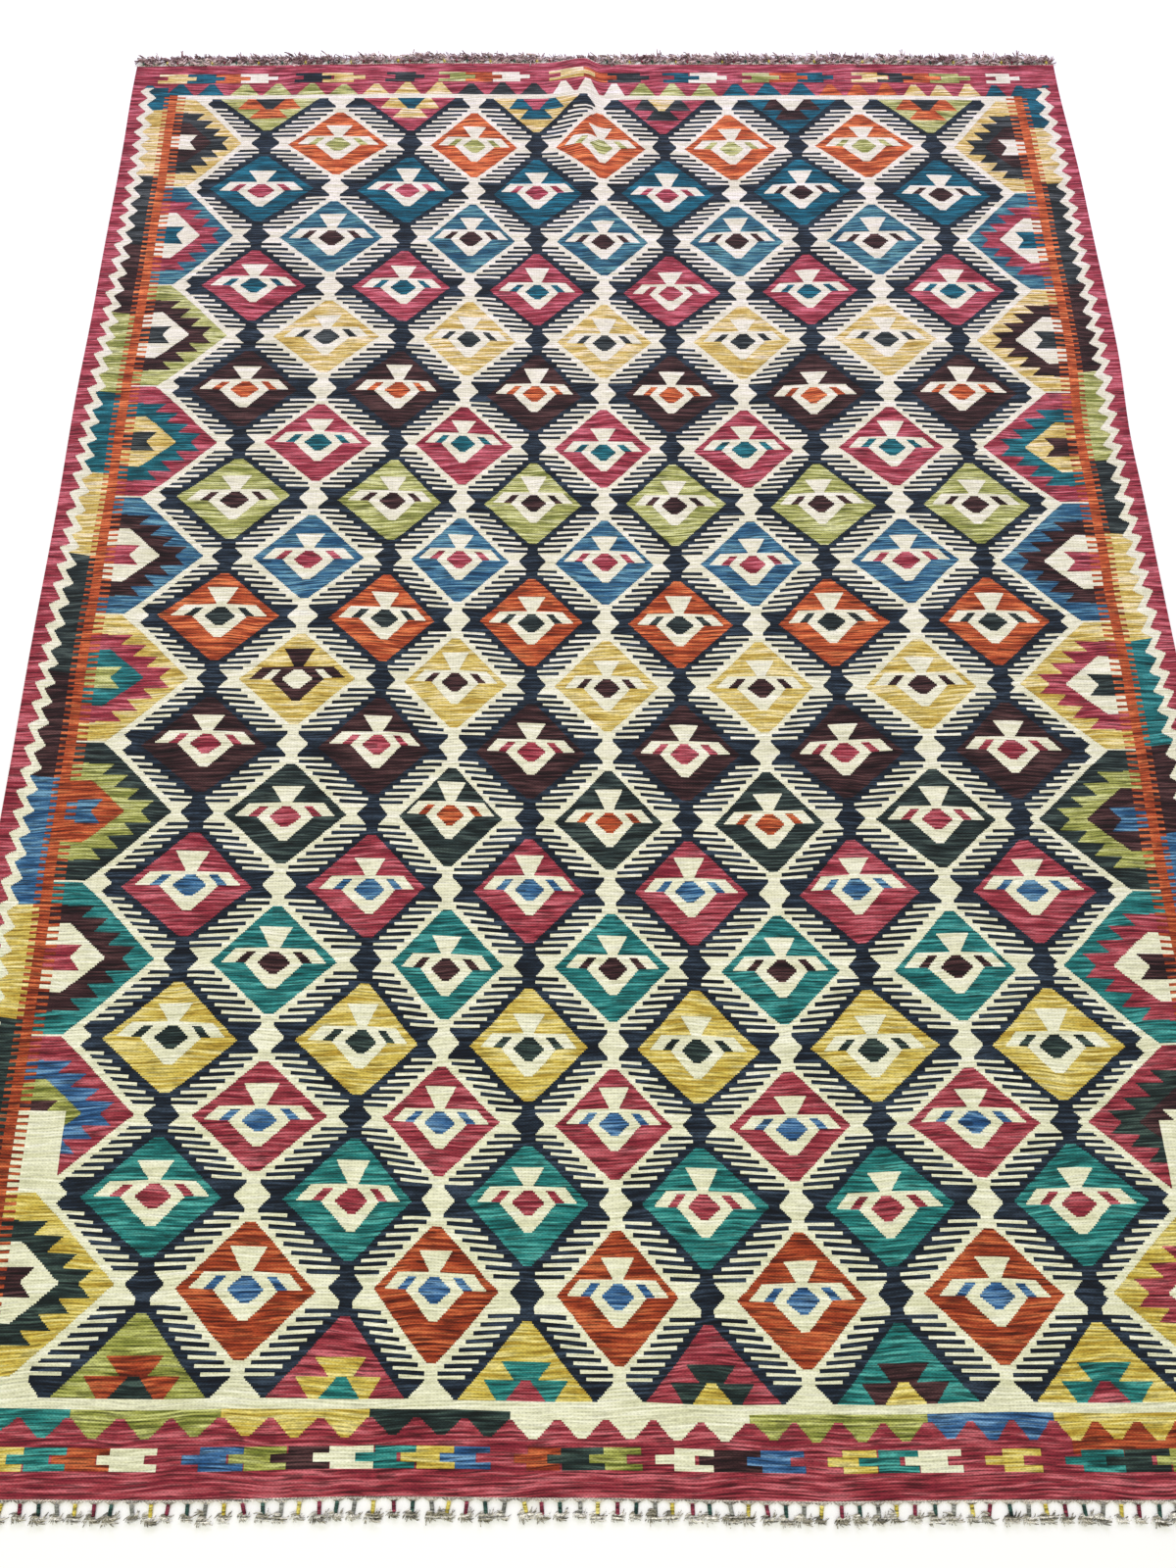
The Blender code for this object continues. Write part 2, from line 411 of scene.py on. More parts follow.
def weave_bird(centre, column, body, inner, hand):
    crown = CROWN._replace(first=CROWN.first - hand.crown)
    for half_row, distance in half_rows_round(centre, int(DIAMOND_REACH)):
        down = distance - 0.5 * round(2.0 * hand.bird)
        for shape in (crown, WINGS, BREAST):
            weave_shape(shape, half_row, down, column, body)
        for shape in (HEART_TOP, HEART_TIP, EYE):
            weave_shape(shape, half_row, down, column, inner)


# %% The rows of diamonds
DiamondRow = namedtuple("DiamondRow", "ground inner")
DIAMOND_ROWS = table_of(
    DiamondRow, (ORANGE, LEAF), (TEAL, RED), (BLUE, AUBERGINE), (RED, TEAL), (YELLOW, FOREST),
    (AUBERGINE, ORANGE), (RED, TEAL), (LEAF, AUBERGINE), (BLUE, RED), (ORANGE, FOREST), (YELLOW, AUBERGINE),
    (AUBERGINE, RED), (FOREST, ORANGE), (RED, BLUE), (TEAL, AUBERGINE), (YELLOW, FOREST), (RED, BLUE),
    (TEAL, RED), (ORANGE, BLUE))
LAST_ROW_LONGER = 2.5
# A few birds have another colour than the rest of their row.
OddOne = namedtuple("OddOne", "lattice_row column inner body")
ODD_ONES = table_of(
    OddOne, (2, 9, AUBERGINE, CREAM), (2, 11, AUBERGINE, CREAM), (4, 7, RED, CREAM),
    (11, 2, CREAM, AUBERGINE), (13, 2, RED, CREAM), (13, 10, RED, CREAM))
odd_ones = {(odd.lattice_row, odd.column): odd for odd in ODD_ONES}


def diamonds_of_row(lattice_row):
    """The columns of a lattice row's diamonds."""
    return range(2, 11, 2) if lattice_row % 2 else range(1, 12, 2)


def longer_below(lattice_row):
    """The weaver had rows to spare at the near end, so the last row of diamonds is longer below."""
    return LAST_ROW_LONGER if lattice_row == LAST_LATTICE_ROW - 1 else 0.0


hands = {(lattice_row, column): new_hand()
         for lattice_row in range(1, LAST_LATTICE_ROW) for column in diamonds_of_row(lattice_row)}
for (lattice_row, column), hand in hands.items():
    band = CREAM if lattice_row % 2 else NAVY
    weave_band(LATTICE_START + LATTICE_ROWS * lattice_row, column, band, hand, longer_below(lattice_row))
for (lattice_row, column), hand in hands.items():
    centre = LATTICE_START + LATTICE_ROWS * lattice_row
    ground, inner = DIAMOND_ROWS[lattice_row - 1]
    odd = odd_ones.get((lattice_row, column), OddOne(lattice_row, column, inner, CREAM))
    weave_ground(centre, column, ground, hand, longer_below(lattice_row))
    weave_bird(centre, column, odd.body, odd.inner, hand)
print("diamonds", len(hands))

# %% [markdown]
# ## Half diamonds at the ends
# At both ends the lattice is cut through the middle of a row. The triangles that are left carry a crown and
# a pair of wings above a small triangle, and each has three colours of its own.

# %% The end triangles
Triangle = namedtuple("Triangle", "column ground motif small")
FAR_TRIANGLES = table_of(
    Triangle, (1, LEAF, ORANGE, FOREST), (3, RED, YELLOW, TEAL), (5, YELLOW, TEAL, RED),
    (7, RED, FOREST, YELLOW), (9, TEAL, AUBERGINE, CREAM), (11, LEAF, ORANGE, FOREST))
NEAR_TRIANGLES = table_of(
    Triangle, (1, LEAF, ORANGE, FOREST), (3, RED, YELLOW, TEAL), (5, YELLOW, TEAL, RED),
    (7, RED, FOREST, YELLOW), (9, TEAL, AUBERGINE, YELLOW), (11, YELLOW, TEAL, RED))
# Where the triangles of an end stand, the step towards their apex, their height in rows, half their width in
# warps, and how many rows it is to the middle of the hexagons between them.
TriangleRow = namedtuple("TriangleRow", "base_line inward height base_half to_hexagon")
FAR_ROW = TriangleRow(2 * LATTICE_START, 1, 15.5, 30.6, LATTICE_ROWS)
NEAR_ROW = TriangleRow(2 * FIELD_END - 1, -1, 19.0, 31.6, FIELD_END - LAST_MIDDLE - 0.5)
TRIANGLE_WINGS = Shape(0, 4.8, 0, 0, 13.6, 19.4)
TRIANGLE_CROWN = Shape(5.2, 9.6, 0, 0, 5.8, 12.0)
TRIANGLE_SMALL = Shape(0, 4.8, 0, 0, 9.4, 2.4)
# The cream hexagons' feet at the near end, between its triangles.
FOOT_HALF_ROWS = 10
FOOT_WIDEST = 10.9
FOOT_SLOPE = 1.7


def triangle_half(at, up):
    """An end triangle's half width in warps, some rows above its base."""
    return at.base_half - (at.base_half - APEX) * up / at.height


def weave_triangle(at, triangle):
    """An end triangle in its navy band, which steps by whole rows, and the neck beyond its apex."""
    column = triangle.column
    for step in range(int(2 * at.to_hexagon)):
        half_row = at.base_line + at.inward * step
        up = middle_of(step)
        half = triangle_half(at, up)
        beyond = max(hexagon_half(at.to_hexagon - up), triangle_half(at, step // 2 + 0.5) + BAND[NAVY])
        span(half_row, column, -beyond, beyond, NAVY)
        if up < at.height:
            span(half_row, column, -half, half, triangle.ground)
        for shape, yarn in ((TRIANGLE_WINGS, triangle.motif), (TRIANGLE_CROWN, triangle.motif),
                            (TRIANGLE_SMALL, triangle.small)):
            weave_shape(shape, half_row, up, column, yarn)


for at, triangles_there in ((FAR_ROW, FAR_TRIANGLES), (NEAR_ROW, NEAR_TRIANGLES)):
    for triangle in triangles_there:
        weave_triangle(at, triangle)
for column in diamonds_of_row(LAST_LATTICE_ROW - 1):
    for half_row in range(2 * FIELD_END - FOOT_HALF_ROWS, 2 * FIELD_END):
        foot = max(NECK, FOOT_WIDEST - FOOT_SLOPE * (FIELD_END - middle_of(half_row)))
        span(half_row, column, -foot, foot, CREAM)

# %% [markdown]
# ## The side motifs
# The rows with five diamonds end in a large half motif on each side: a plain outer triangle, a serrated one
# in it, a small one in that, and a swallow's tail at its foot. Each step inwards starts from the border's
# edge.

# %% Serrated half motifs
SideMotif = namedtuple("SideMotif", "outer serrated inner tail")
LEFT_MOTIFS = table_of(
    SideMotif, (YELLOW, FOREST, AUBERGINE, CREAM), (BLUE, RED, CREAM, TEAL), (LEAF, AUBERGINE, CREAM, FOREST),
    (RED, TEAL, YELLOW, FOREST), (BLUE, AUBERGINE, CREAM, RED), (YELLOW, RED, TEAL, LEAF),
    (FOREST, LEAF, ORANGE, BLUE), (TEAL, AUBERGINE, CREAM, RED), (RED, BLUE, LEAF, AUBERGINE),
    (YELLOW, FOREST, CREAM, AUBERGINE))
RIGHT_MOTIFS = table_of(
    SideMotif, (YELLOW, FOREST, AUBERGINE, CREAM), (BLUE, RED, CREAM, TEAL),
    (YELLOW, AUBERGINE, CREAM, FOREST), (RED, TEAL, YELLOW, AUBERGINE), (BLUE, AUBERGINE, CREAM, RED),
    (YELLOW, RED, CREAM, FOREST), (FOREST, LEAF, AUBERGINE, BLUE), (TEAL, RED, CREAM, AUBERGINE),
    (RED, FOREST, AUBERGINE, CREAM), (YELLOW, RED, CREAM, FOREST))
# Where the outer triangle's tip and its notches lie, in millimetres from the rug's own side.
SIDE_TIP = Column(213, 240)
SIDE_NOTCH = Column(120, 128)
SIDE_FOOT = 92.0
# The serrated triangle, the small one and the tail: how many rows each reaches from the motif's middle row,
# and where it ends, as a share of the way to the tip.
SERRATED_REACH = 15.0
SERRATED_END = 0.81
SERRATION = 3.75
SERRATION_SHIFT = 0.4
SERRATION_STEP = 0.14
SERRATION_SLANT = 0.032
INNER_REACH = 9.5
INNER_END = 0.547
INNER_SLOPE = 0.039
TAIL_REACH = 3.4
TAIL_NOTCH = 0.22
TAIL_SLOPE = 0.03


def serrated_share(distance):
    """Four teeth, each flat on the side away from the middle row and slanting back towards it."""
    tooth = math.floor((distance + SERRATION_SHIFT) / SERRATION)
    place = distance + SERRATION_SHIFT - SERRATION * tooth
    return SERRATED_END - SERRATION_STEP * tooth - SERRATION_SLANT * (SERRATION - place)


def inner_share(distance):
    return INNER_END - INNER_SLOPE * distance


def tail_share(distance):
    return TAIL_NOTCH + TAIL_SLOPE * distance


def weave_side(half_row, facing, end, yarn):
    """Covers a half row of the field, from the border to an end in millimetres from the rug's own side."""
    if facing > 0:
        cover(half_row, FIELD_LEFT, end, yarn)
    else:
        cover(half_row, WIDTH_MM - end, FIELD_RIGHT, yarn)


def weave_side_motif(centre, column, facing, colours):
    """A half motif. facing is 1 on the left side and -1 on the right."""
    own_side = 0.0 if facing > 0 else WIDTH_MM
    below = 2 * LATTICE_ROWS if centre >= LAST_MIDDLE else LATTICE_ROWS
    for half_row, signed in half_rows_round(centre, below):
        distance = abs(signed)
        row = 0.5 * half_row
        tip = from_far_to_near(SIDE_TIP, row)
        outer = tip - (tip - from_far_to_near(SIDE_NOTCH, row)) * distance / LATTICE_ROWS
        hexagon = hexagon_half(LATTICE_ROWS - distance if row < LAST_MIDDLE else FIELD_END - row)
        between = abs(warp_place(column, facing * hexagon, row) - own_side)
        band = BAND[CREAM] * abs(warp_place(column, facing, row) - column_place(column, row))
        weave_side(half_row, facing, max(between, outer + band), CREAM)
        if distance < LATTICE_ROWS:
            weave_side(half_row, facing, outer, colours.outer)
        for reach, share, yarn in ((SERRATED_REACH, serrated_share, colours.serrated),
                                   (INNER_REACH, inner_share, colours.inner),
                                   (TAIL_REACH, tail_share, colours.tail)):
            if distance < reach:
                weave_side(half_row, facing, SIDE_FOOT + (tip - SIDE_FOOT) * share(distance), yarn)


for number, (left_motif, right_motif) in enumerate(zip(LEFT_MOTIFS, RIGHT_MOTIFS)):
    centre = LATTICE_START + LATTICE_ROWS * (2 * number + 1)
    weave_side_motif(centre, 0, 1, left_motif)
    weave_side_motif(centre, len(COLUMNS) - 1, -1, right_motif)
print("side motifs", len(LEFT_MOTIFS) + len(RIGHT_MOTIFS))

# %% [markdown]
# ## The borders
# From the field outwards, each end has a cream line, a row of teeth and a row of little forks that lock
# into each other on red. The sides have an orange stripe whose fingers reach into its neighbours, blocks of
# colour, and a cream zigzag against the red selvedge. Each run of colours is a short table.

# %% The end borders
# Each run of teeth or block of yarn ends at so many millimetres from the left selvedge.
Teeth = namedtuple("Teeth", "yarn count end")
FAR_TEETH = table_of(
    Teeth, (TEAL, 3, 175), (LEAF, 4, 420), (YELLOW, 3, 592), (FOREST, 3, 766), (CREAM, 3, 906),
    (LEAF, 3, 1076), (TEAL, 3, 1255), (ORANGE, 3, 1409), (YELLOW, 3, 1560), (TEAL, 3, 1700))
NEAR_TEETH = table_of(
    Teeth, (TEAL, 3, 207), (LEAF, 3, 385), (YELLOW, 3, 560), (FOREST, 3, 726), (CREAM, 5, 1008),
    (LEAF, 4, 1218), (BLUE, 3, 1367), (YELLOW, 3, 1513), (TEAL, 3, 1672), (TEAL, 1, 1700))
Block = namedtuple("Block", "yarn end")
FAR_FORKS = table_of(
    Block, (YELLOW, 98), (TEAL, 150), (ORANGE, 195), (CREAM, 246), (RED, 296), (NAVY, 347), (YELLOW, 404),
    (RED, 463), (FOREST, 517), (RED, 561), (LEAF, 611), (ORANGE, 660), (CREAM, 711), (RED, 765),
    (YELLOW, 829), (ORANGE, 872), (FOREST, 932), (RED, 975), (TEAL, 1023), (CREAM, 1074), (RED, 1120),
    (LEAF, 1171), (ORANGE, 1222), (TEAL, 1270), (RED, 1322), (YELLOW, 1370), (FOREST, 1418), (ORANGE, 1467),
    (LEAF, 1521), (RED, 1570), (CREAM, 1614))
NEAR_FORKS = table_of(
    Block, (YELLOW, 159), (TEAL, 209), (ORANGE, 261), (CREAM, 316), (RED, 364), (BLUE, 416), (LEAF, 466),
    (AUBERGINE, 516), (CREAM, 568), (TEAL, 616), (YELLOW, 662), (BLUE, 704), (RED, 747), (ORANGE, 786),
    (FOREST, 836), (LEAF, 880), (RED, 917), (CREAM, 963), (AUBERGINE, 1019), (BLUE, 1070), (RED, 1115),
    (YELLOW, 1155), (TEAL, 1203), (CREAM, 1253), (RED, 1301), (YELLOW, 1346), (RED, 1394), (TEAL, 1444),
    (FOREST, 1497), (LEAF, 1546), (ORANGE, 1594), (CREAM, 1640))
TOOTH_TIP = 5.5
TOOTH_GAP = 4.5
TOOTH_STRAY = 2.0
# One tooth in three starts half a row late.
LATE_START = (0, 0, 1)
FORK_SHIFT = 19.0
FORK_PARTS = (3, 4, 3)
FORK_STRAY = 3.0
PRONG_STRAY = 1.5


def weave_teeth(runs, start, tip_row, inward, rows, band_rows):
    """A row of teeth that grow from their tips inwards, and the band that they stand on."""
    for run in runs:
        pitch = (run.end - start) / run.count
        for number in range(run.count):
            centre = start + (number + 0.5) * pitch + weaver.uniform(-TOOTH_STRAY, TOOTH_STRAY)
            first = 2 * tip_row if inward > 0 else 2 * tip_row + 1
            late = weaver.choice(LATE_START)
            widest = 0.5 * pitch - TOOTH_GAP
            for step in range(late, int(2 * rows)):
                half = TOOTH_TIP + (widest - TOOTH_TIP) * (step - late) / (2 * rows - 1 - late)
                cover(first + inward * step, centre - half, centre + half, run.yarn)
        for step in range(int(2 * rows), int(2 * (rows + band_rows))):
            cover(first + inward * step, start, run.end, run.yarn)
        start = run.end


def weave_forks(blocks, start, first_half_row, shift):
    """The little forks: in its middle part each block is moved sideways, for a tongue between two prongs."""
    for block in blocks:
        half_row = first_half_row
        for part, count in enumerate(FORK_PARTS):
            if part == 1:
                moved = shift + weaver.uniform(-FORK_STRAY, FORK_STRAY)
            else:
                moved = weaver.uniform(-PRONG_STRAY, PRONG_STRAY)
            for _ in range(count):
                if block.yarn != RED:
                    cover(half_row, start + moved, block.end + moved, block.yarn)
                half_row += 1
        start = block.end


# The ground behind one run of the near teeth is orange instead of red.
ORANGE_GROUND = (1385.0, 1512.0)
ORANGE_GROUND_ROWS = range(466, 475)
CREAM_LINES = (*range(32, 36), *range(926, 931))
LINE_OVERHANG = 30.0
weave_teeth(FAR_TEETH, start=0.0, tip_row=10, inward=1, rows=6, band_rows=0)
weave_forks(FAR_FORKS, start=44.0, first_half_row=9, shift=FORK_SHIFT)
for row in ORANGE_GROUND_ROWS:
    cover_row(row, *ORANGE_GROUND, ORANGE)
weave_teeth(NEAR_TEETH, start=28.0, tip_row=471, inward=-1, rows=4.5, band_rows=2)
weave_forks(NEAR_FORKS, start=108.0, first_half_row=948, shift=-FORK_SHIFT)
for half_row in CREAM_LINES:
    cover(half_row, FIELD_LEFT - LINE_OVERHANG, FIELD_RIGHT + LINE_OVERHANG, CREAM)
print("blocks in the end borders", len(FAR_FORKS) + len(NEAR_FORKS))

# %% The side borders
# Here a block ends at so many millimetres from the far edge.
LEFT_BLOCKS = table_of(
    Block, (TEAL, 116), (YELLOW, 271), (FOREST, 422), (AUBERGINE, 568), (LEAF, 727), (TEAL, 884),
    (YELLOW, 1034), (FOREST, 1233), (AUBERGINE, 1400), (BLUE, 1586), (YELLOW, 1745), (FOREST, 1906),
    (AUBERGINE, 2060), (TEAL, 2245))
RIGHT_BLOCKS = table_of(
    Block, (TEAL, 150), (YELLOW, 277), (FOREST, 498), (AUBERGINE, 677), (LEAF, 848), (FOREST, 980),
    (YELLOW, 1170), (TEAL, 1339), (AUBERGINE, 1475), (BLUE, 1640), (LEAF, 1800), (FOREST, 1960),
    (YELLOW, 2110), (TEAL, 2245))
BORDER_START = 12
BORDER_END = 471
STRIPE_START = 16
STRIPE_END = 463
ZIGZAG_ROWS = 7
ZIGZAG_LOW = 15.0
ZIGZAG_SWING = 16.0
ZIGZAG_WIDTH = 15.5
STRIPE_CENTRE = Column(77.5, 84.0)
STRIPE_HALF = 7.25
BLOCK_END = 66.0
FINGER_OUT = 9.0
FINGER_IN = 15.0


def block_yarn(blocks, row):
    down = 1000.0 * ROW_HEIGHT * (row + 0.5)
    return next((block.yarn for block in blocks if down < block.end), blocks[-1].yarn)


def weave_side_border(half_row, blocks, place):
    """Half a row of a side border. place() counts a distance from the rug's own side from the left one."""
    def lay(start, end, yarn):
        cover(half_row, min(place(start), place(end)), max(place(start), place(end)), yarn)

    row = half_row // 2
    phase = middle_of(half_row) % ZIGZAG_ROWS / ZIGZAG_ROWS
    zigzag = ZIGZAG_LOW + ZIGZAG_SWING * (1.0 - abs(2.0 * phase - 1.0))
    lay(zigzag + ZIGZAG_WIDTH, BLOCK_END, block_yarn(blocks, row))
    lay(zigzag, zigzag + ZIGZAG_WIDTH, CREAM)
    lay(0.0, zigzag, RED)
    if STRIPE_START <= row < STRIPE_END:
        centre = STRIPE_CENTRE.far + (STRIPE_CENTRE.near - STRIPE_CENTRE.far) * row / ROWS
        fingers = row % 2
        lay(BLOCK_END, centre, block_yarn(blocks, row))
        lay(centre - STRIPE_HALF - FINGER_OUT * fingers, centre + STRIPE_HALF + FINGER_IN * fingers, ORANGE)


# Beside the stripe, the colours at the field's edge run on.
for half_row in range(2 * STRIPE_START, 2 * STRIPE_END):
    inside = round(FIELD_LEFT * SQUARES_PER_MM)
    outside = round(FIELD_RIGHT * SQUARES_PER_MM)
    chart[half_row, :inside] = chart[half_row, inside]
    chart[half_row, outside:] = chart[half_row, outside - 1]
for half_row in range(2 * BORDER_START, 2 * BORDER_END):
    weave_side_border(half_row, LEFT_BLOCKS, lambda distance: distance)
    weave_side_border(half_row, RIGHT_BLOCKS, lambda distance: WIDTH_MM - distance)
print("squares of each yarn", np.bincount(chart.ravel(), minlength=len(YARNS)))

# %% [markdown]
# ## From rows of weft to meshes
# Each stretch of one yarn in one row becomes a face, and a yarn's faces are joined where its rows touch.
# The chart is straight, but the cloth isn't. The weft dips below each diamond and rises between two, the
# rows sag between the sides, and every row is beaten in a little differently. loom_point() bends the
# straight chart into the cloth that really came off the loom.

# %% The pull of the loom
# How far the rows lie below their straight lines, at shares of the rug's length and of its width. Both fade
# away towards the ends, which keep the solids' own outline.
ROW_DRIFT = table_of(
    Offset, (0.0, 0.0), (0.08, 0.003), (0.15, 0.006), (0.22, 0.015), (0.40, 0.021), (0.77, 0.018),
    (0.86, 0.003), (1.0, 0.0))
SAG = table_of(
    Offset, (0.0, -0.004), (0.15, 0.0), (0.45, 0.013), (0.60, 0.014), (0.80, 0.009), (1.0, 0.012))
END_FADE = 0.10
SIDE_FADE = 0.05
EDGE_ROWS = 3.0
# How deep the rows dip below a diamond's middle.
DIP = 0.0028
# The navy yarn is thicker than the cream, so its teeth push the lines beside them apart.
PUSH = 0.0003
# The unevenness of the beating, broad over the cloth and narrow from row to row.
BEAT = 0.0022
BEAT_LENGTHS = (0.13, 0.20)
BEAT_SLICE = 9.1
ROW_BEAT = 0.0009
ROW_BEAT_LENGTH = 0.045
ROW_BEAT_PER_ROW = 0.62
ROW_BEAT_SLICE = 2.3
# The warps stray sideways, and single turns of yarn tremble.
STRAY = 0.0020
STRAY_LENGTH = 0.11
STRAY_SLICE = 6.6
TREMOR = 0.0005
TREMOR_LENGTH = 0.012
TREMOR_SLICE = 5.5
# Without a seed, noise_vector would start from the clock and come out anew in each run.
TREMOR_SEED = 12
noise.seed_set(TREMOR_SEED)


def column_at(across, row):
    """Which column lies at a place, with a fraction between two columns."""
    places = [0.001 * column_place(column, row) for column in range(len(COLUMNS))]
    number = min(max(bisect_right(places, across), 1), len(places) - 1)
    return number - 1 + (across - places[number - 1]) / (places[number] - places[number - 1])


def loom_point(across, line):
    """A point of the chart, at a line between two half rows, on the underside of the woven cloth."""
    row = 0.5 * line
    down = row * ROW_HEIGHT
    share = down / PANEL_LENGTH
    from_ends = smooth(share / END_FADE) * smooth((1.0 - share) / END_FADE)
    from_sides = smooth(across / SIDE_FADE) * smooth((PANEL_WIDTH - across) / SIDE_FADE)
    sagging = along_table(SAG, across / PANEL_WIDTH) + along_table(ROW_DRIFT, share) * from_sides
    dip = math.sin(math.pi * (row - LATTICE_START - 0.5) / LATTICE_ROWS)
    dip *= math.cos(math.pi * (column_at(across, row) - 1.0))
    beat = noise.noise(Vector((across / BEAT_LENGTHS[0], down / BEAT_LENGTHS[1], BEAT_SLICE)))
    row_beat = noise.noise(Vector((across / ROW_BEAT_LENGTH, ROW_BEAT_PER_ROW * row, ROW_BEAT_SLICE)))
    stray = noise.noise(Vector((across / STRAY_LENGTH, down / STRAY_LENGTH, STRAY_SLICE)))
    tremor = noise.noise_vector(Vector((across / TREMOR_LENGTH, down / TREMOR_LENGTH, TREMOR_SLICE)))
    push = math.cos(math.pi * (row - LATTICE_START))
    broad = sagging + DIP * dip + BEAT * beat
    narrow = ROW_BEAT * row_beat + TREMOR * tremor.y - PUSH * push
    inside_edge_rows = min(1.0, row / EDGE_ROWS, (ROWS - row) / EDGE_ROWS)
    down += from_ends * broad + inside_edge_rows * narrow
    across += from_sides * (STRAY * stray * from_ends + TREMOR * tremor.x)
    point = cloth_point(across, down)
    point.z += swell(across, down)
    return point + CENTRING


# %% [markdown]
# Where two yarns meet along a warp, each turns back round its own last warp and a fine slit stays open
# between them. This is what slit tapestry is named for. So each run of weft ends a little short of its
# neighbour, while the runs above and below it are cut at the same places, and no crack opens between the
# rows. A run in the far half of a row and the only run of its yarn that it meets in the near half make one
# face, which steps by a warp half way down.

# %% Runs of weft
LONGEST_RUN = 0.060
LONGEST_STEP = 0.012
NARROWEST = 0.001
HALF_SLIT = 0.00012
RIDGE_STEP = 0.010
LONG_STATIONS = [LONGEST_RUN * step for step in range(1, math.ceil(PANEL_WIDTH / LONGEST_RUN))]
CREASE_STATIONS = [CREASE_ACROSS + CREASE_REACH * step for step in (-1.0, -0.5, 0.0, 0.5, 1.0)]
RIDGE_STATIONS = [RIDGE_ACROSS + RIDGE_STEP * step for step in range(-20, 4)]
Run = namedtuple("Run", "yarn start end stations")
Patch = namedtuple("Patch", "yarn far near above below")


def stations_of(line, start, end):
    """Where a run is cut so that it can follow the relief."""
    down = 0.5 * line * ROW_HEIGHT
    places = set(LONG_STATIONS if end - start > LONGEST_RUN else ())
    places.update(CREASE_STATIONS if down < CREASE_END else ())
    places.update(RIDGE_STATIONS if down < RIDGE_END else ())
    return sorted({round(place, 5) for place in places if start + NARROWEST < place < end - NARROWEST})


def runs_of(half_row):
    """The stretches of one yarn in a half row, from left to right."""
    line = chart[half_row]
    turns = [0, *(np.flatnonzero(np.diff(line)) + 1).tolist(), len(line)]
    runs = []
    for begin, finish in zip(turns, turns[1:]):
        start = round(0.001 * begin / SQUARES_PER_MM, 5)
        end = round(0.001 * finish / SQUARES_PER_MM, 5)
        runs.append(Run(int(line[begin]), start, end, stations_of(half_row, start, end)))
    return runs


def meets(above, below):
    """Whether two runs are of the same yarn and lie side by side somewhere."""
    return above.yarn == below.yarn and above.start < below.end and below.start < above.end


def may_join(above, below):
    """Whether two runs that meet are alike enough to make one face."""
    shared = min(above.end, below.end) - max(above.start, below.start)
    steps = max(abs(above.start - below.start), abs(above.end - below.end))
    return shared > NARROWEST and steps < LONGEST_STEP


# %% Patches of one or two runs
half_rows = [runs_of(half_row) for half_row in range(HALF_ROWS)]
patches = []
for far in range(0, HALF_ROWS, 2):
    uppers, lowers = half_rows[far], half_rows[far + 1]
    met = [[place for place, below in enumerate(lowers) if meets(above, below)] for above in uppers]
    meetings = [sum(place in places for places in met) for place in range(len(lowers))]
    joined = set()
    for number, places in enumerate(met):
        above = uppers[number]
        if len(places) == 1 and meetings[places[0]] == 1 and may_join(above, lowers[places[0]]):
            below = lowers[places[0]]
            shared = sorted(set(above.stations) & set(below.stations))
            uppers[number] = above._replace(stations=shared)
            lowers[places[0]] = below._replace(stations=shared)
            patches.append(Patch(above.yarn, far, far + 2, uppers[number], lowers[places[0]]))
            joined.add(places[0])
        else:
            patches.append(Patch(above.yarn, far, far + 1, above, above))
    patches += [Patch(below.yarn, far + 1, far + 2, below, below)
                for place, below in enumerate(lowers) if place not in joined]
print("runs in the half rows", sum(map(len, half_rows)), "patches", len(patches))


# %% Where the lines between the half rows are cut
# Cuts of two half rows that lie closer than this count as one, and a shared cut is found within this much.
CLOSEST_CUT = 0.003
SAME_CUT = 0.00002
known_cuts = {}


def inset_start(place):
    return round(place + HALF_SLIT, 5) if place > 0.0 else 0.0


def inset_end(place):
    return round(place - HALF_SLIT, 5) if place < PANEL_WIDTH - HALF_SLIT else PANEL_WIDTH


def cuts_seen_by(yarn, half_row):
    """Where a half row is cut, as a face of this yarn beside it sees it: cuts to share, and others."""
    key = (yarn, half_row)
    if key not in known_cuts:
        shared, others = [], []
        before = None
        for run in half_rows[half_row] if 0 <= half_row < HALF_ROWS else []:
            if run.yarn == yarn:
                shared += [inset_start(run.start), *run.stations, inset_end(run.end)]
            else:
                others += run.stations if before == yarn else [run.start, *run.stations]
            before = run.yarn
        known_cuts[key] = shared, others
    return known_cuts[key]


def edge_places(yarn, half_row, start, end):
    """The places strictly between start and end where a face's edge is cut to fit the half row beyond it."""
    shared, others = cuts_seen_by(yarn, half_row)
    places = shared[bisect_right(shared, start + SAME_CUT):bisect_left(shared, end - SAME_CUT)]
    for place in others[bisect_right(others, start + CLOSEST_CUT):bisect_left(others, end - CLOSEST_CUT)]:
        number = bisect_left(places, place)
        if all(abs(place - beside) > CLOSEST_CUT for beside in places[max(0, number - 1):number + 1]):
            places.insert(number, place)
    return places


def faces_of(patch):
    """A patch's faces, each as its corners (place, line) from the near left one round."""
    lefts = [(inset_start(patch.above.start), inset_start(patch.below.start))]
    rights = [(inset_end(patch.above.end), inset_end(patch.below.end))]
    stations = [(place, place) for place in patch.above.stations]
    for left, right in zip(lefts + stations, stations + rights):
        near = [left[1], *edge_places(patch.yarn, patch.near, left[1], right[1]), right[1]]
        far = [left[0], *edge_places(patch.yarn, patch.far - 1, left[0], right[0]), right[0]]
        corners = [(place, patch.near) for place in near]
        if right[0] != right[1]:
            corners += [(right[1], patch.far + 1), (right[0], patch.far + 1)]
        corners += [(place, patch.far) for place in reversed(far)]
        if left[0] != left[1]:
            corners += [(left[0], patch.far + 1), (left[1], patch.far + 1)]
        yield corners


# %% One closed mesh for each yarn
# Cream and navy cover the most, so each is two pieces, a far one and a near one.
PARTS = {CREAM: ("_far", "_near"), NAVY: ("_far", "_near")}
SHARP_DEGREES = 40.0


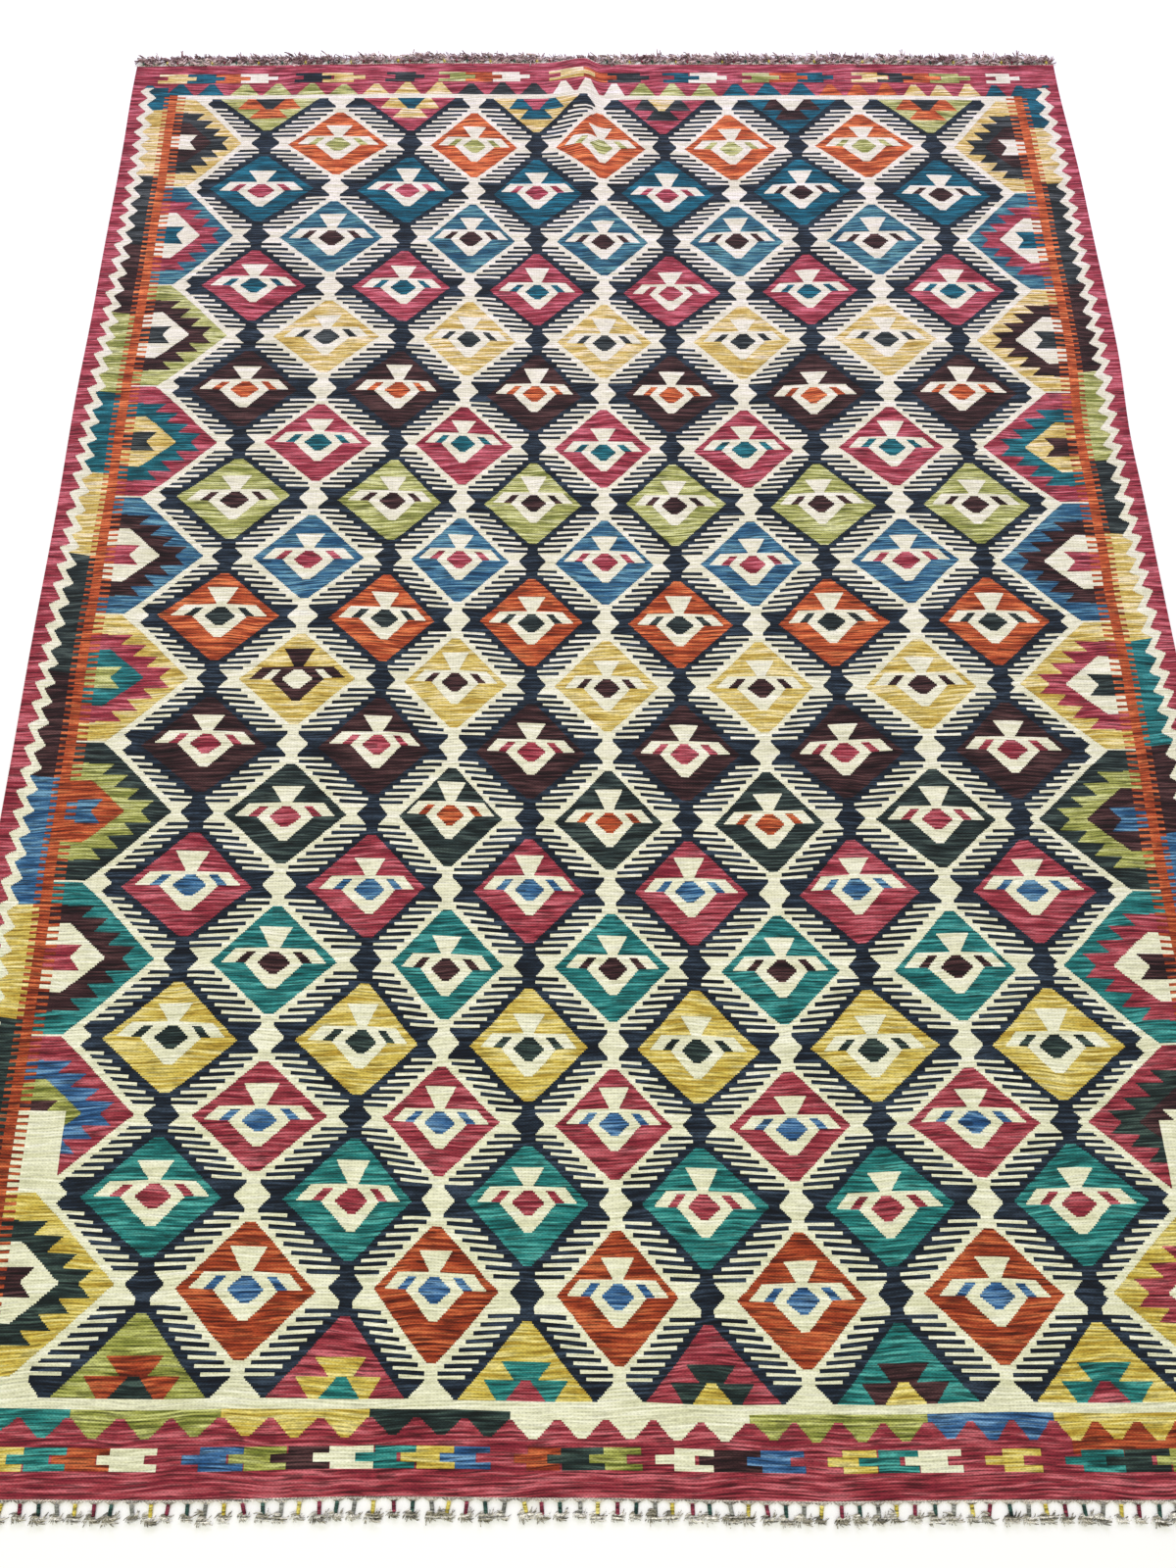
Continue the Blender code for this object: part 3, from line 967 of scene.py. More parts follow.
def yarn_piece(name, yarn, first_row, last_row):
    """The yarn's cloth between two rows: its faces above, the same below, and a wall at every open edge."""
    numbers = {}
    above = []
    for patch in patches:
        if patch.yarn == yarn and 2 * first_row <= patch.far < 2 * last_row:
            for corners in faces_of(patch):
                above.append([numbers.setdefault(corner, len(numbers)) for corner in corners])
    under = [loom_point(*corner) for corner in numbers]
    count = len(under)
    sides = {side for face in above for side in zip(face, face[1:] + face[:1])}
    faces = [[corner + count for corner in face] for face in above]
    faces += [list(reversed(face)) for face in above]
    open_sides = sorted((begin, end) for begin, end in sides if (end, begin) not in sides)
    faces += [[begin, end, end + count, begin + count] for begin, end in open_sides]
    vertices = [tuple(point) for point in under]
    vertices += [(point.x, point.y, point.z + CLOTH_THICKNESS) for point in under]
    mesh = bpy.data.meshes.new(name)
    mesh.from_pydata(vertices, [], faces)
    mesh.shade_smooth()
    mesh.set_sharp_from_angle(angle=math.radians(SHARP_DEGREES))
    piece = bpy.data.objects.new(name, mesh)
    bpy.context.collection.objects.link(piece)
    return piece


def triangles(piece):
    piece.data.calc_loop_triangles()
    return len(piece.data.loop_triangles)


wefts = []
for yarn in range(len(YARNS)):
    suffixes = PARTS.get(yarn, ("",))
    for number, suffix in enumerate(suffixes):
        first = ROWS * number // len(suffixes)
        last = ROWS * (number + 1) // len(suffixes)
        wefts.append((yarn_piece("weft_" + YARNS[yarn].name + suffix, yarn, first, last), yarn))
for piece, yarn in wefts:
    print(piece.name, "triangles", triangles(piece))
print("all wefts", sum(triangles(piece) for piece, yarn in wefts))

# %% [markdown]
# ## Wool
# Hand-spun wool is matt and slightly hairy. What the eye sees from a step away is the abrash: thin streaks
# along the weft, where one dip of yarn was paler than the next. Over them lie dark lines where two wefts
# don't quite meet, which are painted shade of the crevices between them. Under that lie the ribs over the
# warps, crossed by rows of small beads of weft, whose tops are painted lighter and hollows darker. Strands of
# real geometry would need millions of faces, and a flat colour would look like felt, so noise that is
# stretched along the weft draws the streaks and crossed waves draw the ribs. All of it reads the object's own
# coordinates, so it is the same on every side.

# %% Helpers for materials
def linear(hex_colour):
    """An sRGB hex colour as the four linear values that Blender's sockets want."""
    parts = [int(hex_colour[place:place + 2], 16) / 255.0 for place in (1, 3, 5)]
    return [part / 12.92 if part <= 0.04045 else ((part + 0.055) / 1.055) ** 2.4 for part in parts] + [1.0]


def add_node(tree, kind, inputs=None, **settings):
    """Adds a node, sets its settings, and gives each input a value or a link from another node's socket."""
    made = tree.nodes.new(kind)
    for name, value in settings.items():
        setattr(made, name, value)
    for name, value in (inputs or {}).items():
        if isinstance(value, bpy.types.NodeSocket):
            tree.links.new(value, made.inputs[name])
        else:
            made.inputs[name].default_value = value
    return made


# %% Sizes in the wool
# Real wefts lie 0.5 mm apart and real warps 2.5 mm. A view of the whole can't show either, so both are drawn
# coarser: the ribs over about every second warp, and the rows of beads nearly as far apart as the ribs.
RIB_SPACING = 0.0044
BEAD_SPACING = 0.0040
# The abrash, its streaks, the dark lines and the grain of the spun wool: each one's length along the weft and
# its height along the warps. They are drawn coarser than single yarns, too.
ABRASH_SIZE = (0.150, 0.011)
STREAK_SIZE = (0.055, 0.0033)
LINE_SIZE = (0.036, 0.0021)
GRAIN_SIZE = (0.0060, 0.0024)
# The rows waver by this much, once in about a tenth of a metre.
WAVER = (0.0, 0.018, 0.0)
WAVER_SCALE = 9.0
# How much the streaks count beside the broad abrash, and how far off the middle the other shades are reached.
STREAK_SHARE = 0.66
SHADE_REACH = 0.11
# The far end's painted light, a tint of each yarn, comes in between these two places along the rug, in metres
# from its middle.
FAR_LIGHT_SPAN = (-0.8, 0.7)
# The lines of painted crevice shade are where their noise is low. The ribs show less than the rows of beads.
LINE_EDGES = (0.35, 0.44)
RIB_SHARE = 0.45
LINE_DEPTH = 1.5
GRAIN_DEPTH = 0.8
# Blender's Wave Texture of scale 1 turns by this many radians in a metre.
WAVE_RADIANS = 20.0


# %% Wool
def stretched_noise(tree, place, size, detail):
    """Noise whose patches have this length along the weft and this height along the warps."""
    squeezed = add_node(tree, "ShaderNodeVectorMath", {0: place, 1: (1.0 / size[0], 1.0 / size[1], 0.0)},
                        operation="MULTIPLY")
    patches_there = add_node(tree, "ShaderNodeTexNoise",
                             {"Vector": squeezed.outputs[0], "Scale": 1.0, "Detail": detail})
    return patches_there.outputs["Fac"]


def dyed_shades(tree, bent, dark, middle, light, streaks):
    """Three shades of one dye, in streaks along the weft."""
    abrash = stretched_noise(tree, bent, ABRASH_SIZE, 1.0)
    streak = stretched_noise(tree, bent, STREAK_SIZE, 1.0)
    blend = add_node(tree, "ShaderNodeMix", {"Factor": STREAK_SHARE, "A": abrash, "B": streak}).outputs[0]
    shades = add_node(tree, "ShaderNodeValToRGB", {"Fac": blend})
    shades.color_ramp.elements[0].position = 0.5 - SHADE_REACH / streaks
    shades.color_ramp.elements[0].color = linear(dark)
    shades.color_ramp.elements[1].position = 0.5 + SHADE_REACH / streaks
    shades.color_ramp.elements[1].color = linear(light)
    shades.color_ramp.elements.new(0.5).color = linear(middle)
    return shades.outputs["Color"]


def painted_far_light(tree, place, dyed, middle, far_light):
    """The same yarn, tinted little by little towards its middle shade at the far end: painted light, for the
    far end's different light.
    """
    tint = [far / near for far, near in zip(linear(far_light), linear(middle))]
    along = add_node(tree, "ShaderNodeSeparateXYZ", {0: place}).outputs["Y"]
    share = add_node(tree, "ShaderNodeMapRange", {"Value": along, "From Min": FAR_LIGHT_SPAN[0],
                                                  "From Max": FAR_LIGHT_SPAN[1], "To Min": 0.0, "To Max": 1.0})
    mixed = add_node(tree, "ShaderNodeMix", {"Factor": share.outputs[0], 4: (1.0, 1.0, 1.0), 5: tint[:3]},
                     data_type="VECTOR")
    tinted = add_node(tree, "ShaderNodeVectorMath", {0: dyed, 1: mixed.outputs[1]}, operation="MULTIPLY")
    return tinted.outputs[0]


def woven_relief(tree, place, bent):
    """Ribs across the rug and rows of beads along it, crossed so that the beads of two ribs are staggered."""
    waves = []
    swings = []
    for vector, spacing, distortion, detail_scale, direction in (
            (place, RIB_SPACING, 0.8, 0.6, "X"), (bent, BEAD_SPACING, 0.9, 0.8, "Y")):
        wave = add_node(tree, "ShaderNodeTexWave",
                        {"Vector": vector, "Scale": 2.0 * math.pi / (WAVE_RADIANS * spacing),
                         "Distortion": distortion, "Detail": 1.0, "Detail Scale": detail_scale},
                        bands_direction=direction)
        waves.append(wave.outputs["Fac"])
        swing = add_node(tree, "ShaderNodeMapRange", {"Value": waves[-1], "From Min": 0.0, "From Max": 1.0,
                                                      "To Min": -1.0, "To Max": 1.0})
        swings.append(swing.outputs[0])
    crossed = add_node(tree, "ShaderNodeMath", {0: swings[0], 1: swings[1]}, operation="MULTIPLY")
    relief = add_node(tree, "ShaderNodeMath", {0: crossed.outputs[0], 1: RIB_SHARE, 2: waves[1]},
                      operation="MULTIPLY_ADD")
    return relief.outputs[0]


def wool_material(name, dark, middle, light, streaks=1.0, lines=0.62, grain=0.20, beads=0.30, far_light=None):
    """Weft-faced wool, hand-spun and dyed in the yarn, which makes it matt, streaked and a little hairy.

    streaks says how suddenly its shades change, grain how much the spun grain darkens the wool, and lines and
    beads how strong the painted shade is in the crevices between wefts and on the beads.
    The last argument, if given, is the middle shade as the far end's light shows it; tinting the colour
    towards it along the rug paints that light into the wool.
    """
    material = bpy.data.materials.new(name)
    material.use_nodes = True
    tree = material.node_tree
    tree.nodes.clear()
    place = add_node(tree, "ShaderNodeTexCoord").outputs["Object"]
    waver = add_node(tree, "ShaderNodeTexNoise", {"Vector": place, "Scale": WAVER_SCALE, "Detail": 1.0})
    shift = add_node(tree, "ShaderNodeVectorMath", {0: waver.outputs["Color"], 1: WAVER},
                     operation="MULTIPLY")
    bent = add_node(tree, "ShaderNodeVectorMath", {0: place, 1: shift.outputs[0]}, operation="ADD").outputs[0]
    dyed = dyed_shades(tree, bent, dark, middle, light, streaks)
    if far_light:
        dyed = painted_far_light(tree, place, dyed, middle, far_light)

    line = stretched_noise(tree, bent, LINE_SIZE, 0.0)
    heather = stretched_noise(tree, bent, GRAIN_SIZE, 1.0)
    relief = woven_relief(tree, place, bent)
    # Painted shade: the crevices between wefts are darkened in the colour.
    crevice_shade = add_node(tree, "ShaderNodeMapRange",
                       {"Value": line, "From Min": LINE_EDGES[0], "From Max": LINE_EDGES[1],
                        "To Min": 1.0 - lines, "To Max": 1.0}, interpolation_type="SMOOTHSTEP").outputs[0]
    spun = add_node(tree, "ShaderNodeMapRange",
                    {"Value": heather, "From Min": 0.3, "From Max": 0.7, "To Min": 1.0 - grain,
                     "To Max": 1.0 + grain}).outputs[0]
    # Painted light and shade: the tops of the ribs and beads are lightened and their hollows darkened in the
    # colour.
    relief_shade = add_node(tree, "ShaderNodeMapRange",
                    {"Value": relief, "From Min": -0.3, "From Max": 1.3, "To Min": 1.0 - beads,
                     "To Max": 1.0 + 0.8 * beads}).outputs[0]
    both = add_node(tree, "ShaderNodeMath", {0: crevice_shade, 1: spun}, operation="MULTIPLY")
    shade = add_node(tree, "ShaderNodeMath", {0: both.outputs[0], 1: relief_shade}, operation="MULTIPLY").outputs[0]
    colour = add_node(tree, "ShaderNodeVectorMath", {0: dyed, "Scale": shade}, operation="SCALE")
    packed = add_node(tree, "ShaderNodeMath", {0: crevice_shade, 1: LINE_DEPTH, 2: relief},
                      operation="MULTIPLY_ADD")
    height = add_node(tree, "ShaderNodeMath", {0: heather, 1: GRAIN_DEPTH, 2: packed.outputs[0]},
                      operation="MULTIPLY_ADD")
    raised = add_node(tree, "ShaderNodeBump",
                      {"Height": height.outputs[0], "Strength": 0.8, "Distance": 0.0005})
    shader = add_node(tree, "ShaderNodeBsdfPrincipled",
                      {"Base Color": colour.outputs[0], "Roughness": 0.92, "IOR": 1.54,
                       "Specular IOR Level": 0.25, "Sheen Weight": 0.08, "Sheen Roughness": 0.5,
                       "Normal": raised.outputs[0]})
    add_node(tree, "ShaderNodeOutputMaterial", {"Surface": shader.outputs[0]})
    return material


# %% Dress the wefts
# The far-end shades are painted light: each yarn's middle shade as the far end's different light shows it.
LOOKS = {
    RED: dict(lines=0.60, far_light="#A63E4E"),
    CREAM: dict(streaks=0.7, lines=0.18, grain=0.12, beads=0.12, far_light="#E6DFD0"),
    NAVY: dict(lines=0.45, grain=0.30, beads=0.40),
    TEAL: dict(far_light="#08546A"),
    BLUE: dict(far_light="#326680"),
    YELLOW: dict(lines=0.38, beads=0.20, far_light="#DCC27A"),
    LEAF: dict(lines=0.50, far_light="#B3B26C"),
    FOREST: dict(beads=0.36, far_light="#262D33"),
    ORANGE: dict(far_light="#C2552F"),
    AUBERGINE: dict(beads=0.40)}
WOOLS = [wool_material("dyed_wool_" + yarn.name, yarn.dark, yarn.middle, yarn.light, **LOOKS[number])
         for number, yarn in enumerate(YARNS)]
# A little more than the rug's own size, so that its whole outline lies on the map.
MAP_WIDTH = 1.76
MAP_LENGTH = 2.45


def bake_map(piece):
    """A flat map of the rug from above, through which its colours can be painted."""
    layer = piece.data.uv_layers.new(name="OFBake")
    for loop in piece.data.loops:
        place = piece.data.vertices[loop.vertex_index].co
        layer.data[loop.index].uv = (0.5 + place.x / MAP_WIDTH, 0.5 + place.y / MAP_LENGTH)


for piece, yarn in wefts:
    piece.data.materials.append(WOOLS[yarn])
    bake_map(piece)
    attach(piece, "root")
    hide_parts("kilim_panel")
print("wools", [wool.name for wool in WOOLS])

# %% [markdown]
# ## The fringe
# The warps run on past the last weft. A twined edge keeps the wefts from slipping off: two rows of yarn
# stitches that slant against each other. Beyond it the warps are gathered by the dozen into bundles. Each
# bundle is wrapped with a dyed yarn, and below the wrapping its cut ends fluff out. A fringe is a few small
# shapes repeated many times, so each shape is a Geometry Nodes tree, and the script only says where its
# copies stand.

# %% A tree that stands one small shape on many points
Copy = namedtuple("Copy", "place turn stretch")


def shape_tree(name, sizes):
    """A tree with one named input per size. Returns it with the sockets of those inputs."""
    tree = bpy.data.node_groups.new(name, "GeometryNodeTree")
    tree.interface.new_socket("Geometry", in_out="INPUT", socket_type="NodeSocketGeometry")
    for size, value in sizes.items():
        socket = tree.interface.new_socket(size, in_out="INPUT", socket_type="NodeSocketFloat")
        socket.default_value = value
    tree.interface.new_socket("Geometry", in_out="OUTPUT", socket_type="NodeSocketGeometry")
    return tree, add_node(tree, "NodeGroupInput").outputs


def stand_on_points(tree, points, shape, material):
    """Ends a tree: the shape on every point, turned and stretched as the point says, and realized."""
    turn = add_node(tree, "GeometryNodeInputNamedAttribute", {"Name": "turn"}, data_type="FLOAT_VECTOR")
    stretch = add_node(tree, "GeometryNodeInputNamedAttribute", {"Name": "stretch"}, data_type="FLOAT_VECTOR")
    rotation = add_node(tree, "FunctionNodeEulerToRotation", {0: turn.outputs[0]})
    copies = add_node(tree, "GeometryNodeInstanceOnPoints",
                      {"Points": points, "Instance": shape, "Rotation": rotation.outputs[0],
                       "Scale": stretch.outputs[0]})
    real = add_node(tree, "GeometryNodeRealizeInstances", {0: copies.outputs[0]})
    soft = add_node(tree, "GeometryNodeSetShadeSmooth", {"Geometry": real.outputs[0]})
    dressed = add_node(tree, "GeometryNodeSetMaterial", {"Geometry": soft.outputs[0], "Material": material})
    add_node(tree, "NodeGroupOutput", {0: dressed.outputs[0]})


def grow(name, mesh, tree, **sizes):
    """Runs a tree on a mesh with these sizes and keeps the result as a plain mesh, without the modifier."""
    piece = bpy.data.objects.new(name, mesh)
    bpy.context.collection.objects.link(piece)
    modifier = piece.modifiers.new("shape", "NODES")
    modifier.node_group = tree
    for socket in tree.interface.items_tree:
        if socket.name in sizes:
            modifier[socket.identifier] = sizes[socket.name]
    plain = bpy.data.meshes.new_from_object(piece.evaluated_get(bpy.context.evaluated_depsgraph_get()))
    piece.modifiers.clear()
    piece.data = plain
    bake_map(piece)
    return piece


def points_mesh(name, copies):
    """A point for each copy, which also says how the copy is turned and stretched."""
    mesh = bpy.data.meshes.new(name)
    mesh.from_pydata([tuple(copy.place) for copy in copies], [], [])
    for key in ("turn", "stretch"):
        values = mesh.attributes.new(key, "FLOAT_VECTOR", "POINT")
        for number, copy in enumerate(copies):
            values.data[number].vector = getattr(copy, key)
    return mesh


def facing(azimuth, rise=0.0, roll=0.0):
    """The turn of a shape that points along +Y: rolled on its own axis, raised, then swung sideways."""
    turned = Matrix.Rotation(azimuth, 3, "Z") @ Matrix.Rotation(rise, 3, "X") @ Matrix.Rotation(roll, 3, "Y")
    return turned.to_euler("XYZ")


# %% The four shapes
STEM_LENGTH = 0.0135
# How much of a sine wave a cut strand follows.
CURL_RADIANS = 4.0


def rod(tree, sides, segments, radius, length):
    """An upright rod, laid down along +Y from the origin on, with the share of the way and the position."""
    made = add_node(tree, "GeometryNodeMeshCylinder",
                    {"Vertices": sides, "Side Segments": segments, "Radius": radius, "Depth": length},
                    fill_type="TRIANGLE_FAN")
    half = add_node(tree, "ShaderNodeMath", {0: length, 1: 0.5}, operation="MULTIPLY").outputs[0]
    shift = add_node(tree, "ShaderNodeCombineXYZ", {"Y": half}).outputs[0]
    laid = add_node(tree, "GeometryNodeTransform", {"Geometry": made.outputs["Mesh"], "Translation": shift,
                                                    "Rotation": (-math.pi / 2, 0, 0)})
    position = add_node(tree, "GeometryNodeInputPosition").outputs[0]
    along = add_node(tree, "ShaderNodeSeparateXYZ", {0: position})
    share = add_node(tree, "ShaderNodeMath", {0: along.outputs["Y"], 1: length}, operation="DIVIDE")
    return laid.outputs[0], share.outputs[0], along.outputs


def drawn_in(tree, along, amount):
    """The offset that moves a rod's skin by a share of its radius, inwards where the share is below 0."""
    outward = add_node(tree, "ShaderNodeCombineXYZ", {"X": along["X"], "Z": along["Z"]})
    offset = add_node(tree, "ShaderNodeVectorMath", {0: outward.outputs[0], "Scale": amount},
                      operation="SCALE")
    return offset.outputs[0]


def stitch_tree(material):
    """One stitch of the twined edge, a small grain of yarn."""
    tree, sockets = shape_tree("twined_stitch", {"Length": 0.0046, "Width": 0.0014, "Height": 0.0016})
    ball = add_node(tree, "GeometryNodeMeshIcoSphere", {"Radius": 0.5, "Subdivisions": 1})
    size = add_node(tree, "ShaderNodeCombineXYZ", {"X": sockets["Width"], "Y": sockets["Length"],
                                                   "Z": sockets["Height"]})
    shaped = add_node(tree, "GeometryNodeTransform", {"Geometry": ball.outputs[0], "Scale": size.outputs[0]})
    stand_on_points(tree, sockets["Geometry"], shaped.outputs[0], material)
    return tree


def warp_tree(material):
    """One gathered warp, a metre long, because each copy is stretched to its own length."""
    tree, sockets = shape_tree("gathered_warp", {"Length": 1.0, "Radius": 0.0007})
    laid = rod(tree, 4, 1, sockets["Radius"], sockets["Length"])[0]
    stand_on_points(tree, sockets["Geometry"], laid, material)
    return tree


def wrapping_tree(material):
    """A stem wrapped with yarn: every other ring of its rod is drawn in."""
    tree, sockets = shape_tree("wrapped_stem", {"Length": STEM_LENGTH, "Radius": 0.0025, "Groove": 0.14,
                                                "Rings": 7.0})
    laid, share, along = rod(tree, 8, 14, sockets["Radius"], sockets["Length"])
    phase = add_node(tree, "ShaderNodeMath", {0: share, 1: sockets["Rings"]}, operation="MULTIPLY").outputs[0]
    turns = add_node(tree, "ShaderNodeMath", {0: phase, 1: 2.0 * math.pi}, operation="MULTIPLY").outputs[0]
    wave = add_node(tree, "ShaderNodeMath", {0: turns}, operation="COSINE").outputs[0]
    depth = add_node(tree, "ShaderNodeMath", {0: wave, 1: -0.5, 2: -0.5}, operation="MULTIPLY_ADD").outputs[0]
    groove = add_node(tree, "ShaderNodeMath", {0: depth, 1: sockets["Groove"]}, operation="MULTIPLY")
    offset = drawn_in(tree, along, groove.outputs[0])
    ringed = add_node(tree, "GeometryNodeSetPosition", {"Geometry": laid, "Offset": offset})
    stand_on_points(tree, sockets["Geometry"], ringed.outputs[0], material)
    return tree


def strand_tree(material):
    """One cut end of wool: a thin rod that thins out and curls sideways."""
    tree, sockets = shape_tree("cut_strand", {"Length": 0.0105, "Radius": 0.0011, "Curl": 0.0026,
                                              "Thinning": 0.40})
    laid, share, along = rod(tree, 3, 4, sockets["Radius"], sockets["Length"])
    less = add_node(tree, "ShaderNodeMath", {0: share, 1: sockets["Thinning"]}, operation="MULTIPLY")
    inward = add_node(tree, "ShaderNodeMath", {0: less.outputs[0], 1: -1.0}, operation="MULTIPLY").outputs[0]
    thinned = drawn_in(tree, along, inward)
    angle = add_node(tree, "ShaderNodeMath", {0: share, 1: CURL_RADIANS}, operation="MULTIPLY").outputs[0]
    wave = add_node(tree, "ShaderNodeMath", {0: angle}, operation="SINE").outputs[0]
    aside = add_node(tree, "ShaderNodeMath", {0: wave, 1: sockets["Curl"]}, operation="MULTIPLY").outputs[0]
    curl = add_node(tree, "ShaderNodeCombineXYZ", {"X": aside}).outputs[0]
    offset = add_node(tree, "ShaderNodeVectorMath", {0: thinned, 1: curl}, operation="ADD").outputs[0]
    curled = add_node(tree, "GeometryNodeSetPosition", {"Geometry": laid, "Offset": offset})
    stand_on_points(tree, sockets["Geometry"], curled.outputs[0], material)
    return tree


# %% [markdown]
# Both fringes have the same parts. They differ in how long the wrapped stems are and how far the cut ends
# fan out: the far one has short stems and full, pale tufts, and the near one has longer stems and thinner,
# greyer tufts. The far tufts' pink cast is painted light, the far end's pinker light on the same warp wool.

# %% Where the stitches stand
End = namedtuple("End", "name line outward ahead fullness stem_share fan rise")
ENDS = (End("far", 0, 1.0, 0.0, fullness=1.7, stem_share=0.50, fan=4.2, rise=0.7),
        End("near", HALF_ROWS, -1.0, math.pi, fullness=1.05, stem_share=0.90, fan=3.8, rise=0.45))
STITCH_PITCH = 0.0043
STITCH_SLANT = 0.95
STITCH_STRAY = 0.12
STITCH_HEIGHT = 0.0016
TWINED_ROWS = (0.0007, 0.0019)


def twined_stitches(end, rng):
    """Two rows of stitches along the last weft, which slant against each other."""
    stitches = []
    for row, out in enumerate(TWINED_ROWS):
        for number in range(int(PANEL_WIDTH / STITCH_PITCH)):
            place = loom_point(STITCH_PITCH * (number + 0.5 + 0.5 * row), end.line)
            place += Vector((0.0, end.outward * out, STITCH_HEIGHT))
            slant = STITCH_SLANT * (1.0 if row else -1.0) + rng.uniform(-STITCH_STRAY, STITCH_STRAY)
            stitches.append(Copy(place, facing(end.ahead + slant), (1.0, rng.uniform(0.85, 1.1), 1.0)))
    return stitches


# %% Where the gathered warps and the cut ends stand
# The roots of a bundle's warps lie this far to each side of it, this far out and this high in the last weft.
GATHER_SPREAD = (-0.0085, -0.0034, 0.0034, 0.0085)
ROOT_INSET = 0.001
ROOT_OUT = 0.0014
ROOT_HEIGHT = 0.0018
# At the stem their ends keep a tenth of that spread, and run a little way into it.
GATHERED_SHARE = 0.10
GATHERED_OUT = 0.001
STRANDS = 26
STRAND_SIZES = (0.8, 0.95, 1.0, 1.1, 1.15)
# The strands in the middle of a fan are shorter, so the tuft looks cut and not combed.
MIDDLE_FAN = 0.6
MIDDLE_LENGTH = 0.68


def gathered_warps(end, across, top):
    """The warps that lead from the rug's end to the top of a bundle's stem."""
    warps = []
    for spread in GATHER_SPREAD:
        root = loom_point(min(max(across + spread, ROOT_INSET), PANEL_WIDTH - ROOT_INSET), end.line)
        root += Vector((0.0, end.outward * ROOT_OUT, ROOT_HEIGHT))
        run = top + Vector((GATHERED_SHARE * spread, end.outward * GATHERED_OUT, 0.0)) - root
        azimuth = math.atan2(-run.x, run.y)
        rise = math.atan2(run.z, math.hypot(run.x, run.y))
        warps.append(Copy(root, facing(azimuth, rise), (1.0, run.length, 1.0)))
    return warps


def cut_strands(end, tip, swing, rng):
    """The cut ends that fan out from the tip of a bundle's stem."""
    strands = []
    size = end.fullness * rng.choice(STRAND_SIZES)
    lopsided = rng.gauss(0.0, 0.25)
    for strand in range(STRANDS):
        fan = end.fan * ((strand + 0.5) / STRANDS - 0.5) + lopsided + rng.uniform(-0.2, 0.2)
        rise = rng.uniform(-0.05, end.rise) * math.cos(0.5 * fan)
        aside = rng.uniform(-0.0012, 0.0012)
        back = rng.uniform(-0.002, 0.0)
        higher = rng.uniform(-0.0008, 0.0010)
        stretch = size * rng.uniform(0.65, 1.05) * (MIDDLE_LENGTH if abs(fan) < MIDDLE_FAN else 1.0)
        turn = facing(swing + fan, rise, rng.uniform(-0.9, 0.9))
        strands.append(Copy(tip + Vector((aside, back, higher)), turn, (size, stretch, size)))
    return strands


# %% Where the bundles stand
BUNDLES = 79
BUNDLE_STRAY = 0.0015
BUNDLE_LEAN = 0.11
STEM_START = 0.0045
STEM_HEIGHT = 0.0024
# The stems of a raised edge start higher, by this share of the way up, and slope down to the floor.
STEM_FOLLOWS = 0.6
STEEPEST = 0.9
WRAPS = ("grey", "yellow", "red", "green")
FIRST_WRAP = 3


def fringe_copies(end, rng):
    """The copies of each shape at one end of the rug."""
    stitches = twined_stitches(end, rng)
    warps = []
    strands = []
    stems = {wrap: [] for wrap in WRAPS}
    for number in range(BUNDLES):
        across = PANEL_WIDTH * (number + 0.5) / BUNDLES + rng.uniform(-BUNDLE_STRAY, BUNDLE_STRAY)
        edge = loom_point(across, end.line)
        swing = end.ahead + rng.gauss(0.0, BUNDLE_LEAN)
        height = STEM_HEIGHT + STEM_FOLLOWS * edge.z
        top = Vector((edge.x, edge.y + end.outward * STEM_START, height))
        length = end.stem_share * STEM_LENGTH * rng.uniform(0.88, 1.08)
        drop = -math.asin(min(STEEPEST, (height - STEM_HEIGHT) / length))
        warps += gathered_warps(end, across, top)
        wrap = WRAPS[(number + FIRST_WRAP) % len(WRAPS)]
        stems[wrap].append(Copy(top, facing(swing, drop), (1.0, length / STEM_LENGTH, 1.0)))
        tip = top + length * Vector((-math.sin(swing) * math.cos(drop), math.cos(swing) * math.cos(drop),
                                     math.sin(drop)))
        strands += cut_strands(end, tip, swing, rng)
    return stitches, warps, stems, strands


# %% Lay the fringe on the floor
LYING = 0.002


def lay_on_floor(mesh):
    """Presses what lies lower than LYING softly together, so that no strand sinks into the floor."""
    places = np.empty(3 * len(mesh.vertices), dtype=np.float32)
    mesh.vertices.foreach_get("co", places)
    heights = places[2::3]
    places[2::3] = np.where(heights < LYING, LYING * np.exp((heights - LYING) / LYING), heights)
    mesh.vertices.foreach_set("co", places)
    mesh.update()


# %% The fringe's wools
FRINGE_SHADES = {"grey": ("#6E7068", "#8F9088", "#A9AAA2"), "yellow": ("#B9A436", "#D9C655", "#E8DA7C"),
                 "red": ("#5E1A2C", "#822C40", "#9C4658"), "green": ("#1C3A34", "#2F5148", "#47695E")}
FLUFFY = dict(streaks=1.8, grain=0.35)
TWINED = wool_material("twined_edge_wool", "#DCCBC2", "#F0E5DB", "#FAF3EB")
WARP_WOOL = wool_material("spun_warp_wool", "#A49D8A", "#C9C2AF", "#E2DCC9")
# The far tufts' pink shades are painted light: the far end's pinker light on the same warp wool as the near
# tufts.
TUFT_WOOLS = {"far": wool_material("cut_warp_wool_far_light", "#8A686C", "#B49498", "#E8D2CE", **FLUFFY),
              "near": wool_material("cut_warp_wool_grey", "#A09A86", "#CEC8B8", "#F2EEE2", **FLUFFY)}
WRAP_WOOLS = {wrap: wool_material("wrapping_yarn_" + wrap, *shades) for wrap, shades in FRINGE_SHADES.items()}
print("fringe wools", [wool.name for wool in (TWINED, WARP_WOOL, *TUFT_WOOLS.values(), *WRAP_WOOLS.values())])

